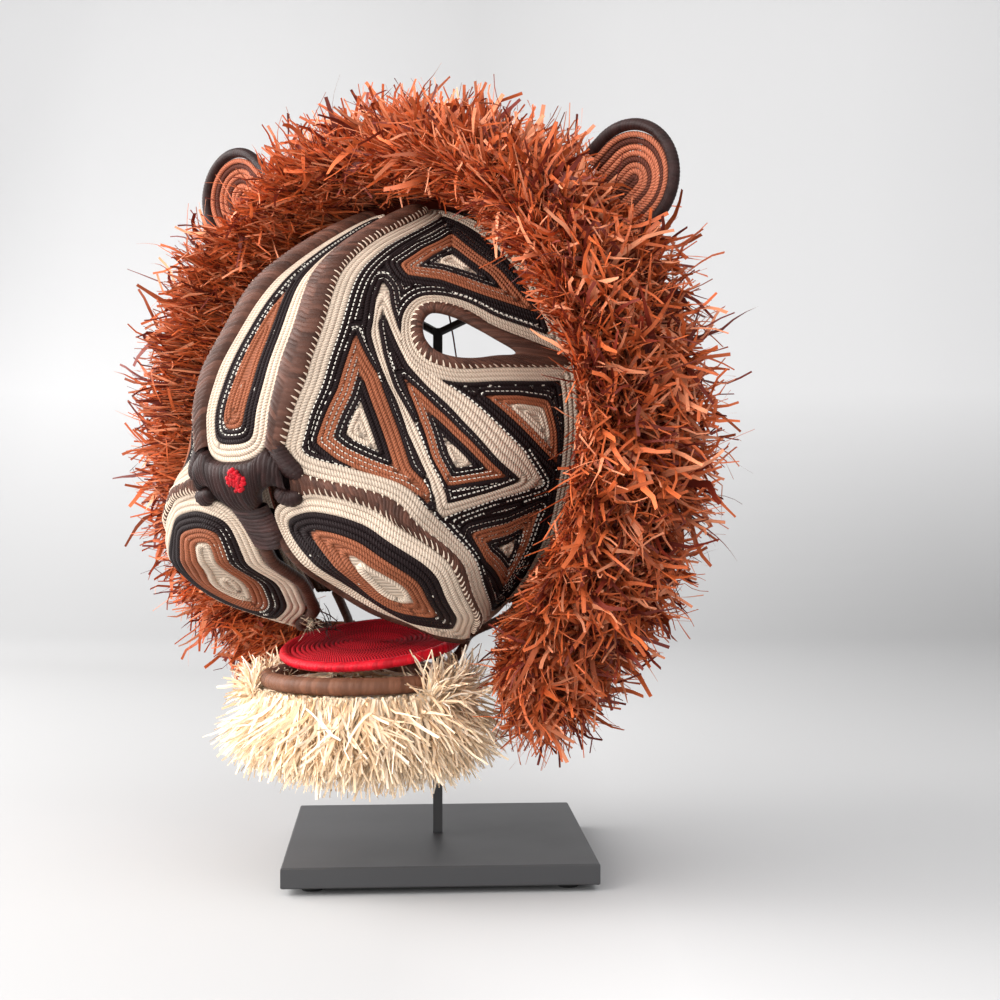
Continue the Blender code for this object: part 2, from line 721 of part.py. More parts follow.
def square_prism(name, half, levels, roughness):
    """A flat-faced bar with a corner ring at each (z, cut), where cut makes it narrower."""
    rings = []
    for z, cut in levels:
        h = half * (1 - cut / half)
        rings.append(np.array([turned(x, y, z) for x, y in ((-h, -h), (h, -h), (h, h), (-h, h))]))
    bar = skin(name, rings, METAL, roughness=roughness, metallic=0.6)
    for f in bar.data.polygons:
        f.use_smooth = False
    return bar


def build_feet():
    i = PLATE / 2 - FOOT_INSET
    for name, x, y in (("front", -i, -i), ("left", i, -i), ("back", i, i), ("right", -i, i)):
        rings = []
        for z, r in ((0.0, FOOT_BOTTOM_R), (FOOT_H - GAP / 2, FOOT_TOP_R)):
            angles = [k * math.pi / 6 for k in range(12)]
            rings.append(np.array([turned(x + r * math.cos(q), y + r * math.sin(q), z) for q in angles]))
        skin("foot_" + name, rings, RUBBER, roughness=0.7)


def build_stand():
    low = FOOT_H + GAP / 2
    top = low + PLATE_T
    levels = ((low, PLATE_EDGE), (low + PLATE_EDGE, 0), (top - PLATE_EDGE, 0), (top, PLATE_EDGE))
    square_prism("base_plate", PLATE / 2, levels, 0.55)
    build_feet()
    post = square_prism("stand_post", POST / 2, ((top + GAP, 0), (POST_TOP, 0)), 0.5)
    for sign in (1, -1):
        path = [(0, 0, POST_TOP - ARM_ROOT), (sign * ARM_END[0], ARM_END[1], ARM_END[2])]
        arm = tube("arm", path, np.repeat([[0.0, 0.2, 1.0]], 2, 0), ARM / 2, ARM / 2, METAL, sides=8)
        arm.hide_render = True
        arm.display_type = "WIRE"
        weld = post.modifiers.new("weld", "BOOLEAN")
        weld.operation = "UNION"
        weld.solver = "EXACT"
        weld.object = arm


def main():
    for obj in list(bpy.data.objects):
        bpy.data.objects.remove(obj)
    build_stand()
    build_face()
    build_collar()
    build_mane()
    build_ears()
    build_tongue()
    build_lip_ring()
    build_jaw_cords()
    build_beard()


main()
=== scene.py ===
"""Looks of the woven lion mask on its display stand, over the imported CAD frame.

Tables and lengths are in millimetres about the axis of the stand post, as in the part's
own tables. Batch.build moves them by MIDDLE into the frame and turns them into metres.
"""

import math

import bpy
import numpy as np
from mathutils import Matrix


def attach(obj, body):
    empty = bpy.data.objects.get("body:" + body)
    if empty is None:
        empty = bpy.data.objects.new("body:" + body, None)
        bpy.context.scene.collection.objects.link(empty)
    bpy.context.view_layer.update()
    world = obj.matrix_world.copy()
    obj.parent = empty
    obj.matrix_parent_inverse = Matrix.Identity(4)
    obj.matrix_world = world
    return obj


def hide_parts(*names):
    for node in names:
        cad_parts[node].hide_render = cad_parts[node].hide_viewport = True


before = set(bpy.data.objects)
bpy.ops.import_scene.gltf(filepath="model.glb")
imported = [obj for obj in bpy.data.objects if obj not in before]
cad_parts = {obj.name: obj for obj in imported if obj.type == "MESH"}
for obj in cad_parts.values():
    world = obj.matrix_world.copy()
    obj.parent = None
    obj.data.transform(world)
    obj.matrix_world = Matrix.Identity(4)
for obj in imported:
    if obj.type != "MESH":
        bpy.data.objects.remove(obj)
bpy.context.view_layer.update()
rng = np.random.default_rng(11)

MIDDLE = np.array([0.7, 22.5, 0.0])

# Camera, fitted to the photograph
CAMERA_AT = (0.6603, -0.7302, 0.230)
CAMERA_TURN = 39.0
CAMERA_LENS = 57.6
CAMERA_SHIFT_Y = -0.01
EYE_POINT = np.array(CAMERA_AT) * 1000 - MIDDLE  # the camera in the tables' millimetres

# Colours, linear
CREAM = (0.70, 0.56, 0.44)
BLACK = (0.014, 0.007, 0.0075)
RUST = (0.33, 0.105, 0.05)
BROWN = (0.085, 0.035, 0.023)
CRIMSON = (0.50, 0.006, 0.016)
DARK_WRAP = (0.024, 0.010, 0.009)
LIP_BROWN = (0.19, 0.082, 0.048)
COIL_BROWN = (0.10, 0.045, 0.025)
EAR_LIGHT = (0.55, 0.17, 0.09)
EAR_DARK = (0.12, 0.035, 0.022)
DASH_COLOUR = (0.72, 0.68, 0.60, 1.0)

# Level sections of the face on its left half. x1 is the outer edge of the brow ridge,
# x2 the front of the cheek, x3 the side corner and x4 the rim that the mane hangs from.
FACE = (
    # z, y0, x1, y1, x2, y2, x3, y3, x4, y4
    (401, -33, 4, -32, 7, -31, 10, -29.5, 12, -28),
    (395, -49, 18, -46, 26, -41, 33, -34, 38.6, -28),
    (383, -73, 24, -71, 38, -60, 53, -44, 66, -28),
    (361, -109, 30, -107, 48, -90, 73, -58, 94, -28),
    (348, -125, 33, -122, 52, -104, 81, -64, 105, -28),
    (319, -146, 37, -140, 60, -116, 94, -72, 121.6, -28),
    (293, -160, 40, -154, 66, -126, 103, -78, 129, -28),
    (267, -169, 41, -160, 70, -134, 109, -86, 131, -28),
    (245, -170, 42, -160, 73, -141, 111, -98, 128.6, -28),
    (232, -166, 45, -157, 78, -145, 112, -105, 125.3, -28),
    (212, -148, 40, -154, 74, -148, 103, -122, 119, -26),
    (190, -130, 40, -142, 78, -143, 111, -112, 104, -26),
    (175, -104, 32, -112, 72, -127, 107, -102, 91, -27),
    (162, -85, 34, -90, 68, -105, 101, -86, 77, -30),
    (152, -70, 42, -70, 62, -82, 84, -68, 68, -32),
    (143, -56, 52, -52, 60, -54, 68, -48, 62, -38),
)

# Outlines on the face: s runs 0 at the midline, 1 ridge, 2 cheek, 3 side, 4 rim.
NOSE_EDGE = (
    # s, z
    (0.55, 396), (0.47, 383), (0.43, 368), (0.46, 350), (0.53, 335), (0.59, 318),
    (0.61, 300), (0.62, 280), (0.60, 265), (0.55, 254), (0.42, 248), (0.2, 245.4), (0.0, 245),
)
CHEEK_INNER = (
    # s, z
    (2.2, 396), (1.65, 388), (1.2, 376), (1.06, 362), (1.04, 349), (1.06, 329),
    (1.06, 306), (1.04, 290), (0.96, 276), (0.86, 261), (0.80, 252), (0.84, 246),
)
CHEEK_LOWER = (
    # s, z
    (0.84, 246), (0.95, 240), (1.15, 236.5), (1.45, 234), (1.75, 232), (2.15, 228),
    (2.5, 222), (2.8, 214), (2.98, 204), (3.06, 192), (3.1, 180), (3.14, 166), (3.2, 155),
)
PAD_OUTER = (
    # s, z
    (0.36, 216), (0.52, 221.5), (0.78, 226), (1.05, 228), (1.4, 227), (1.8, 224.5),
    (2.22, 219.5), (2.56, 213), (2.8, 205), (2.92, 195), (2.98, 184), (3.02, 172),
    (3.02, 160), (3.02, 151), (2.98, 145),
)
PAD_INNER = (
    # s, z
    (2.98, 145), (2.4, 145.5), (1.8, 147.5), (1.25, 152), (0.92, 158), (0.74, 166),
    (0.55, 175), (0.42, 185), (0.34, 196), (0.32, 206), (0.36, 216),
)
EYE = (
    # s, z
    (2.44, 318), (2.46, 324), (2.53, 328), (2.64, 328), (2.80, 325), (2.93, 321),
    (3.13, 314.5), (3.36, 306), (3.12, 304), (2.88, 302), (2.71, 302.5), (2.56, 305.5), (2.47, 311.5),
)
EYE_RIM = (
    # s, z
    (2.34, 317.5), (2.36, 326), (2.47, 332.5), (2.64, 333.5), (2.83, 331), (2.99, 326.5),
    (3.20, 319.5), (3.88, 306), (3.88, 299.5), (3.12, 297.5), (2.86, 296.5), (2.67, 297),
    (2.49, 301), (2.38, 308.5),
)
NOSE_TOP = (
    # s, z
    (0.0, 244.7), (0.2, 245), (0.40, 246.8), (0.50, 250.3), (0.58, 251.7), (0.68, 249),
    (0.76, 246), (0.77, 240),
)
NOSE_BOTTOM = (
    # s, z
    (0.0, 219), (0.14, 219), (0.26, 222), (0.36, 229), (0.50, 232.5), (0.62, 232), (0.75, 230),
)

NOSE_KNOBS = (
    # line of (s, z), half width, half height
    (((0.66, 256), (0.75, 248.5), (0.86, 242), (1.0, 237)), 5.6, 4.6),
    (((0.56, 230), (0.68, 227), (0.80, 226), (0.92, 228.5)), 5.0, 4.6),
)
PHILTRUM = (
    # z, s of the right edge, s of the left edge
    (222, -0.34, 0.34), (214, -0.35, 0.33), (206, -0.34, 0.30), (199, -0.32, 0.24),
)

# Woven figures on the cheek
FIGURE_A = (
    # s, z
    (1.67, 316), (1.55, 284), (1.27, 255), (1.62, 246), (1.99, 239.5), (2.38, 233), (2.82, 222),
    (2.46, 241.5), (2.25, 265), (2.03, 292),
)
FIGURE_B = (
    # s, z
    (1.99, 346), (2.09, 341), (2.13, 330), (2.20, 319), (2.31, 307), (2.45, 297), (2.64, 288), (2.83, 280),
    (3.12, 266), (3.46, 251), (3.73, 233), (3.36, 225), (3.08, 215), (2.69, 230), (2.55, 244), (2.36, 261),
    (2.23, 278), (2.06, 296), (1.89, 315), (1.92, 334),
)
FIGURE_B_INSIDE = (
    # s, z
    (2.02, 330), (1.97, 321), (2.07, 303), (2.20, 285), (2.36, 270), (2.52, 254.5), (2.66, 241.5),
    (2.79, 231), (2.99, 222.5), (3.23, 228), (3.51, 235), (3.24, 246), (2.99, 258), (2.82, 266.5),
    (2.65, 277), (2.49, 286), (2.31, 298), (2.19, 311), (2.10, 321),
)
FIGURE_C = (
    # s, z
    (2.27, 291.5), (2.45, 267.5), (2.62, 248), (2.82, 232), (3.36, 237), (3.17, 245), (2.80, 262),
    (2.58, 274), (2.43, 283),
)
FIGURE_D = (
    # s, z
    (2.99, 281.5), (3.34, 282), (3.66, 280), (3.75, 263), (3.81, 244), (3.47, 260),
)
FIGURE_E = (
    # s, z
    (3.30, 207), (3.57, 211.5), (3.78, 220), (3.75, 199.5), (3.62, 175), (3.33, 192),
)
FIGURE_F = (
    # s, z
    (2.12, 357), (2.35, 368), (2.84, 379.5), (3.46, 356), (3.73, 330), (3.08, 340), (2.65, 348), (2.29, 350),
)

FIGURE_B_WIDE = (
    # s, z of the part of B's right leg that has three rows
    (2.30, 292), (2.70, 306), (3.40, 268), (3.90, 236), (3.60, 236), (3.40, 240), (3.05, 252), (2.70, 268),
)

# Coiled rows
BORDER_PITCH = 3.25  # width of a row, as the other pitches
BORDER_ROWS = 3
GROUND_PITCH = 2.9
PAD_ROWS = (
    # side of x, name, width of a row at the upper edge and at the lower and inner edge,
    # share more at the outer end
    (1, "left", 2.9, 5.7, 0.0),
    (-1, "right", 3.0, 3.3, 0.55),
)
PAD_SHARES = [1.12] * 3 + [1.1] * 3 + [0.92] * 3 + [1.0]  # width of each row, the cream ones first
PAD_COLOURS = [CREAM] * 3 + [BLACK] * 3 + [RUST] * 3 + [CREAM]
PAD_DASHES = [0, 0, 0, 0.3, 0.6, 0.6, 0.45, 0.4, 0.3, 0]
NOSE_WIDTHS = [3.2] * 3 + [2.8] * 3 + [2.4]
NOSE_COLOURS = [CREAM] * 3 + [BLACK] * 3 + [RUST]
NOSE_DASHES = [0, 0, 0, 0.3, 0.8, 0.5, 0.3]
NOSE_NARROWS = ((300, 343, 375, 396), (1, 0.9, 0.72, 0.66))  # z, and the rows' share of their width there
FIGURES = (
    # outline, width of a row, colours and dashes of the rows
    (FIGURE_A, 2.75, [RUST, RUST, RUST, BLACK, BLACK, CREAM], [0.6, 0.9, 0.9, 0.9, 0.7, 0]),
    (FIGURE_D, 2.4, [RUST, RUST, CREAM], [0.6, 0.9, 0]),
    (FIGURE_E, 2.3, [RUST, RUST, RUST, BLACK, BLACK, CREAM], [0.5, 0.9, 0.9, 0.9, 0.5, 0]),
    (FIGURE_F, 2.6, [RUST, RUST, RUST, BLACK, BLACK, CREAM], [0.3, 0.6, 0.6, 0.6, 0.6, 0]),
)
CORE_FIGURE = (FIGURE_C, 2.3, [RUST, RUST, BLACK, BLACK, CREAM], [0.9, 0.9, 0.9, 0.5, 0])
EYE_CENTRE = (2.75, 314.0)
EYE_PITCH = (
    # direction from the eye's centre in degrees, width of a row
    (-180, 2.0), (-135, 2.5), (-90, 2.8), (-30, 2.7), (0, 2.6), (30, 2.4), (60, 2.0), (100, 1.75),
    (150, 1.85), (180, 2.0),
)
COIL_STEP = 2.1  # length of one piece of a swept coil
COIL_SIDES = 6
COIL_SQUARE = 0.75  # power of the section's sine and cosine; 1 is an ellipse
COIL_HIGH = 1.55  # half height of a coil on the face
COIL_SUNK = 1.1  # of a coil's middle below the face's surface
COIL_FILL = 0.53  # half width of a coil, as a share of its row's width
BACKING_SUNK = 0.75  # of the sheet that closes the gaps between coils
GRID = 0.8  # millimetres between two points of the grid
SPREAD = 45.0  # millimetres for one unit of s, only to space the grid
SHORTEST_ROW = 5.0
SIDES = ((1, "left"), (-1, "right"))
FACE_Z = (143, 401)


def pchip(xs, ys, xq):
    """Curve through the points that doesn't overshoot them."""
    h = np.diff(xs)
    d = np.diff(ys) / h
    m = np.zeros(len(xs))
    m[0] = d[0]
    m[-1] = d[-1]
    for i in range(1, len(xs) - 1):
        if d[i - 1] * d[i] > 0:
            w1 = 2 * h[i] + h[i - 1]
            w2 = h[i] + 2 * h[i - 1]
            m[i] = (w1 + w2) / (w1 / d[i - 1] + w2 / d[i])
    i = np.clip(np.searchsorted(xs, xq) - 1, 0, len(xs) - 2)
    t = (xq - xs[i]) / h[i]
    a = (2 * t**3 - 3 * t**2 + 1) * ys[i] + (t**3 - 2 * t**2 + t) * h[i] * m[i]
    b = (-2 * t**3 + 3 * t**2) * ys[i + 1] + (t**3 - t**2) * h[i] * m[i + 1]
    return a + b


ROWS = np.array(sorted(FACE), float)


def catmull_rom(a, b, c, d, f):
    """The smooth curve from b to c at the share f of the way, with a before and d after them."""
    return 0.5 * (2 * b + (c - a) * f + (2 * a - 5 * b + 4 * c - d) * f**2 + (3 * b - a - 3 * c + d) * f**3)


def face(s, z):
    """Points of the face's outer surface; a negative s is the mask's right."""
    s, z = np.asarray(s, float), np.asarray(z, float)
    level = np.clip(z, *FACE_Z)
    y0, x1, y1, x2, y2, x3, y3, x4, y4 = (pchip(ROWS[:, 0], column, level) for column in ROWS[:, 1:].T)
    t = np.abs(s)
    first = np.clip(t.astype(int), 0, 3)

    def curve(corners):
        corners = np.stack(corners)
        near = (np.take_along_axis(corners, (first + k)[None], 0)[0] for k in range(4))
        return catmull_rom(*near, t - first)

    x = curve([-x1, 0 * x1, x1, x2, x3, x4, 2 * x4 - x3])
    y = curve([y1, y0, y1, y2, y3, y4, 2 * y4 - y3])
    return np.stack([np.where(s < 0, -x, x), y, z], -1)


def unit(v):
    return v / np.maximum(np.linalg.norm(v, axis=-1, keepdims=True), 1e-9)


def face_normal(s, z):
    ds, dz = 0.02, 1.0
    across = face(s + ds, z) - face(s - ds, z)
    up = face(s, np.clip(z + dz, *FACE_Z)) - face(s, np.clip(z - dz, *FACE_Z))
    return unit(np.cross(across, up))


def smooth_curve(points, closed=False, count=12):
    """Catmull-Rom curve through the points, this many steps between two of them."""
    p = np.asarray(points, float)
    if closed:
        p = np.vstack([p[-1:], p, p[:2]])
    else:
        p = np.vstack([2 * p[0] - p[1], p, 2 * p[-1] - p[-2]])
    f = (np.arange(count) / count)[:, None]
    return np.vstack([*(catmull_rom(*p[i : i + 4], f) for i in range(len(p) - 3)), p[-2]])


def length_along(points):
    """Length of the line from its first point to each of its points."""
    return np.r_[0, np.cumsum(np.linalg.norm(np.diff(points, axis=0), axis=1))]


def divided(line, at_points, count):
    """The line with this many points at even distances, measured along at_points."""
    length = length_along(at_points)
    at = np.linspace(0, length[-1], count)
    return np.stack([np.interp(at, length, column) for column in line.T], 1)


def spaced(line, at_points, spacing, closed=False):
    """The line with even spacing, measured along at_points; both as rows of points."""
    steps = max(3, int(round(length_along(at_points)[-1] / spacing)))
    line = divided(line, at_points, steps + 1)
    return line[:-1] if closed else line


def on_face(points, spacing, closed=False, curve=True):
    line = smooth_curve(points, closed) if curve else np.asarray(points, float)
    return spaced(line, face(*line.T), spacing, closed)


def even_on_face(points, count):
    return divided(points, face(*points.T), count)


def mirrored(points):
    return np.asarray(points, float) * [-1.0, 1.0]


# Meshes


def add_mesh(name, points, faces, material, **attributes):
    """A mesh from points in metres, with a value or a colour for each point."""
    mesh = bpy.data.meshes.new(name)
    mesh.from_pydata(points, [], faces)
    for key, values in attributes.items():
        values = np.asarray(values, np.float32)
        if values.ndim == 1:
            mesh.attributes.new(key, "FLOAT", "POINT").data.foreach_set("value", values)
        else:
            rgba = np.ones((len(values), 4), np.float32)
            rgba[:, :3] = values
            mesh.attributes.new(key, "FLOAT_COLOR", "POINT").data.foreach_set("color", rgba.ravel())
    mesh.polygons.foreach_set("use_smooth", np.ones(len(mesh.polygons), bool))
    mesh.materials.append(material)
    piece = bpy.data.objects.new(name, mesh)
    bpy.context.scene.collection.objects.link(piece)
    return piece


class Batch:
    """Points, faces and attributes of many strands that become one mesh. Attributes not given are 0."""

    def __init__(self):
        self.parts = []
        self.count = 0

    def add(self, points, faces, tint, **values):
        points = points.reshape(-1, 3)
        values["tint"] = np.broadcast_to(tint, points.shape)
        self.parts.append((points, faces + self.count, values))
        self.count += len(points)

    def build(self, name, material, node=None, slot=None):
        points, faces, values = zip(*self.parts)
        attributes = {}
        for key in dict.fromkeys(key for part in values for key in part):
            filled = [part.get(key, np.zeros(len(p))) for part, p in zip(values, points)]
            attributes[key] = np.concatenate(filled)
        metres = (np.concatenate(points) + MIDDLE) / 1000
        piece = add_mesh(name, metres, np.concatenate(faces), material, **attributes)
        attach(piece, "root")
        if node:
            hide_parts(node)


def ring_faces(rings, sides, closed=False):
    """Quads between successive rings of points."""
    i = np.arange(rings if closed else rings - 1)[:, None]
    k = np.arange(sides)
    j = (i + 1) % rings
    q = (k + 1) % sides
    return np.stack([i * sides + k, i * sides + q, j * sides + q, j * sides + k], -1).reshape(-1, 4)


def patch_faces(count, rows, columns):
    """Quads of separate open grids of points, one grid after the other."""
    start = np.arange(count)[:, None, None] * rows * columns
    corner = start + np.arange(rows - 1)[:, None] * columns + np.arange(columns - 1)
    return np.stack([corner, corner + 1, corner + columns + 1, corner + columns], -1).reshape(-1, 4)


def tangents(path, closed):
    if closed:
        return unit(np.roll(path, -1, 0) - np.roll(path, 1, 0))
    return unit(np.gradient(path, axis=0))


def coil(batch, path, normal, tint, wide, high, closed=False, dashes=0.0, turn=1):
    """A coiled row swept along the path, its oval section turned to the normal."""
    t = tangents(path, closed)
    side = unit(np.cross(normal, t))
    up = np.cross(t, side)
    q = 2 * math.pi * (np.arange(COIL_SIDES) + 0.5) / COIL_SIDES
    u, v = (np.sign(w) * np.abs(w) ** COIL_SQUARE for w in (np.cos(q), np.sin(q)))
    n = len(path)
    wide = np.broadcast_to(wide, n)[:, None, None]
    along = length_along(path) + rng.uniform(0, 50)
    batch.add(
        path[:, None] + side[:, None] * (u[:, None] * wide) + up[:, None] * (v[:, None] * high),
        ring_faces(n, COIL_SIDES, closed),
        tint,
        along=np.repeat(along, COIL_SIDES),
        across=np.tile(u, n) * turn,
        lift=np.tile(v, n),
        dashes=np.repeat(np.broadcast_to(dashes, n), COIL_SIDES),
    )


# Rows of coils inside an outline


def inside(loop, points):
    x, y = points[:, 0], points[:, 1]
    hit = np.zeros(len(points), bool)
    for (x0, y0), (x1, y1) in zip(loop, np.roll(loop, -1, 0)):
        if y0 == y1:
            continue
        crosses = (y0 > y) != (y1 > y)
        hit ^= crosses & (x < (x1 - x0) * (y - y0) / (y1 - y0) + x0)
    return hit


class Sheet:
    """A fine grid over one panel, on which distances are measured in millimetres, and the panel's coils."""

    def __init__(self, outline):
        self.outline = np.asarray(outline, float)
        lo, hi = self.outline.min(0), self.outline.max(0)
        s = np.arange(lo[0] - 0.03, hi[0] + 0.03, GRID / SPREAD)
        z = np.arange(lo[1] - GRID, hi[1] + GRID, GRID)
        self.s, self.z = np.meshgrid(s, z)
        self.flat = np.stack([self.s.ravel(), self.z.ravel()], 1)
        self.points = face(*self.flat.T).astype(np.float32)
        self.within = self.contains(self.outline)
        self.tint = np.tile(np.array(BLACK), (*self.s.shape, 1))

    def start(self, *signs):
        """Makes ready for coils on these sides of the mask."""
        self.batch = {sign: Batch() for sign in signs}

    def build(self, sign, name, material, node, slot):
        """The coils of one side, with their backing, as one piece."""
        back_with_sheet(self, sign)
        self.batch[sign].build(name, material, node, slot)

    def contains(self, loop):
        return inside(np.asarray(loop, float), self.flat).reshape(self.s.shape)

    def distance(self, loop, width_at):
        """Distance of each grid point from the loop, counted in widths, and the nearest width. width_at is a
        function of s and z along the loop."""
        line = on_face(np.vstack([loop, loop[:1]]), 2.0, curve=False)
        p = face(*line.T).astype(np.float32)
        best = np.full(len(self.points), np.inf, np.float32)
        wide = np.ones(len(self.points), np.float32)
        for a, b, width in zip(p[:-1], p[1:], width_at(*line.T)):
            d = b - a
            w = self.points - a
            t = np.clip(w @ d / max(float(d @ d), 1e-9), 0, 1)
            gap = w - t[:, None] * d
            gap = np.einsum("ij,ij->i", gap, gap) / width**2
            wide[gap < best] = width
            np.minimum(best, gap, out=best)
        return np.sqrt(best).reshape(self.s.shape), wide.reshape(self.s.shape)

    def depth(self, loop):
        """Distance from the loop in millimetres, negative outside it."""
        distance, _ = self.distance(loop, lambda s, z: np.ones(len(s)))
        return np.where(self.contains(loop), distance, -distance)

    def rows(self, width_at, turns, widths):
        """Depth from the outline in rows of these widths, the last of them repeating, and each row's width.
        The corners are rounded by this many turns."""
        distance, share = self.distance(self.outline, width_at)
        depth = blurred(np.where(self.within, distance, -distance), turns)
        many = 40
        edges = np.r_[0, np.cumsum(widths), np.sum(widths) + widths[-1] * many]
        numbers = np.r_[np.arange(len(widths) + 1), len(widths) + many]
        rows = np.interp(depth, edges, numbers) + np.minimum(depth, 0)
        return rows, share * np.array(widths)[np.clip(rows.astype(int), 0, len(widths) - 1)]

    def sample(self, grid, sz):
        """Values of the grid at (s, z) points."""
        i = np.clip(((sz[:, 1] - self.z[0, 0]) / GRID).round().astype(int), 0, grid.shape[0] - 1)
        j = np.clip(((sz[:, 0] - self.s[0, 0]) * SPREAD / GRID).round().astype(int), 0, grid.shape[1] - 1)
        return grid[i, j]


def grown(mask):
    """The mask and the cells beside it."""
    wide = np.pad(mask, 1)
    wide = wide[1:-1] | wide[:-2] | wide[2:]
    return wide[:, 1:-1] | wide[:, :-2] | wide[:, 2:]


def cells(mask):
    """Which cells of the grid have their four corners in the mask."""
    return mask[:-1, :-1] & mask[1:, :-1] & mask[:-1, 1:] & mask[1:, 1:]


def trace(values, allowed, level):
    """Lines of (row, column) where the grid passes the level, each with whether it closes."""
    high = values > level
    crossed = high[:, :-1] != high[:, 1:], high[:-1] != high[1:]
    mixed = ~cells(high) & ~cells(~high)
    links = {}
    for i, j in np.argwhere(cells(grown(allowed)) & mixed).tolist():
        edges = (i, j, 0), (i, j, 1), (i + 1, j, 0), (i, j + 1, 1)
        cuts = [(row, column, down) for row, column, down in edges if crossed[down][row, column]]
        for a, b in zip(cuts[::2], cuts[1::2]):
            links.setdefault(a, []).append(b)
            links.setdefault(b, []).append(a)

    def place(cut):
        i, j, down = cut
        a = values[i, j]
        b = values[i + 1, j] if down else values[i, j + 1]
        t = (level - a) / (b - a)
        return (i + t, j) if down else (i, j + t)

    lines = []
    used = set()
    for start in [k for k, v in links.items() if len(v) == 1] + list(links):
        if start in used:
            continue
        chain = []
        onward = [start]
        while onward:
            chain.append(onward[0])
            used.add(onward[0])
            onward = [k for k in links[chain[-1]] if k not in used]
        if len(chain) > 3:
            lines.append((np.array([place(c) for c in chain]), chain[0] in links[chain[-1]]))
    return lines


def blurred(grid, turns):
    """The grid with its corners rounded, each turn by about one cell."""
    for _ in range(turns):
        wide = np.pad(grid, 1, mode="edge")
        grid = grid * 0.5 + (wide[:-2, 1:-1] + wide[2:, 1:-1] + wide[1:-1, :-2] + wide[1:-1, 2:]) * 0.125
    return grid


def soften(line, closed):
    for _ in range(4):
        if closed:
            line = line * 0.5 + (np.roll(line, 1, 0) + np.roll(line, -1, 0)) * 0.25
        else:
            line = np.vstack([line[:1], line[1:-1] * 0.5 + (line[:-2] + line[2:]) * 0.25, line[-1:]])
    return line


def lay(sheet, values, allowed, level, wide, tint, dash):
    """Coils where the grid passes the level. wide is a grid, or one number for all. Dashes show most where
    the grid's values rise upwards or outwards."""
    wide = np.broadcast_to(wide, values.shape)
    origin = sheet.flat[0]
    down, right = np.gradient(values)
    for cuts, closed in trace(values, allowed, level):
        sz = origin + cuts[:, ::-1] * GRID * [1 / SPREAD, 1.0]
        sz = soften(sz, closed)
        if closed:
            sz = np.vstack([sz, sz[:1]])
        xyz = face(*sz.T)
        if length_along(xyz)[-1] < SHORTEST_ROW:
            continue
        sz = spaced(sz, xyz, COIL_STEP, closed)
        half = COIL_FILL * sheet.sample(wide, sz)
        way = np.stack([sheet.sample(right, sz), sheet.sample(down, sz)], 1)
        way /= np.maximum(np.linalg.norm(way, axis=1, keepdims=True), 1e-6)
        shown = dash * np.clip(0.35 + 0.9 * np.maximum(way[:, 0] * 0.8, way[:, 1]), 0.12, 1)
        shown = shown * np.minimum(1.9 / half, 1) ** 2
        shade = rng.normal(1, 0.05)
        for sign, batch in sheet.batch.items():
            s, z = sz[:, 0] * sign, sz[:, 1]
            normal = face_normal(s, z)
            path = face(s, z) - normal * COIL_SUNK
            coil(batch, path, normal, np.array(tint) * shade, half, COIL_HIGH, closed, shown, sign)


def weave(sheet, rows, allowed, colours, dashes, pitch=GROUND_PITCH, half=None):
    """Coils along the middle of each row, where the grid rows counts them from the edge. Row k takes
    colours[k], and the last one repeats. half is the number of rows to the middle of the channel."""
    if not allowed.any():
        return
    for k in range(int(float(rows[allowed].max()) + 0.6)):
        tint, dash = colours[min(k, len(colours) - 1)], dashes[min(k, len(dashes) - 1)]
        where = allowed if half is None else allowed & (half > k + 0.65)
        lay(sheet, rows, where, k + 0.5, pitch, tint, dash)
    for k, tint in enumerate(colours):
        last = k == len(colours) - 1
        sheet.tint[allowed & (rows >= k) & ((rows < k + 1) | last)] = tint


def fill_channels(sheet, fields, allowed, dash):
    """Black rows along every edge of a channel between shapes, and one more where a narrow gap is left."""
    stack = np.stack(fields) / GROUND_PITCH
    order = np.argsort(stack, axis=0)[:2]
    near = np.take_along_axis(stack, order, 0)
    half = near.sum(0) / 2
    weave(sheet, near[0], allowed, [BLACK], [dash], half=half)
    left = half - np.floor(half + 0.35)
    for i in range(len(fields)):
        for j in range(i + 1, len(fields)):
            between = allowed & (order.min(0) == i) & (order.max(0) == j) & (left > 0.22)
            if between.any():
                lay(sheet, stack[i] - stack[j], between, 0.0, 2 * left * GROUND_PITCH, BLACK, dash)


def back_with_sheet(sheet, sign):
    """A sheet just under the coils that closes the gaps between them, in the colour of each row darkened as
    painted shade of the gaps.
    """
    step = 2
    i0, j0 = step * np.array(np.nonzero(cells(sheet.within)[::step, ::step]))
    high, wide = sheet.s.shape
    i1, j1 = np.minimum(i0 + step, high - 1), np.minimum(j0 + step, wide - 1)
    corners = np.stack([i0 * wide + j0, i0 * wide + j1, i1 * wide + j1, i1 * wide + j0], 1)
    corners = corners[sheet.within.ravel()[corners].all(1)]
    used, faces = np.unique(corners, return_inverse=True)
    faces = faces.reshape(-1, 4)[:, ::sign]
    s, z = sheet.flat[used, 0] * sign, sheet.flat[used, 1]
    points = face(s, z) - face_normal(s, z) * BACKING_SUNK
    # painted shade: the row's colour times 0.8 stands for the shade in the gaps between coils
    sheet.batch[sign].add(points, faces, sheet.tint.reshape(-1, 3)[used] * 0.8, along=z)


# Materials


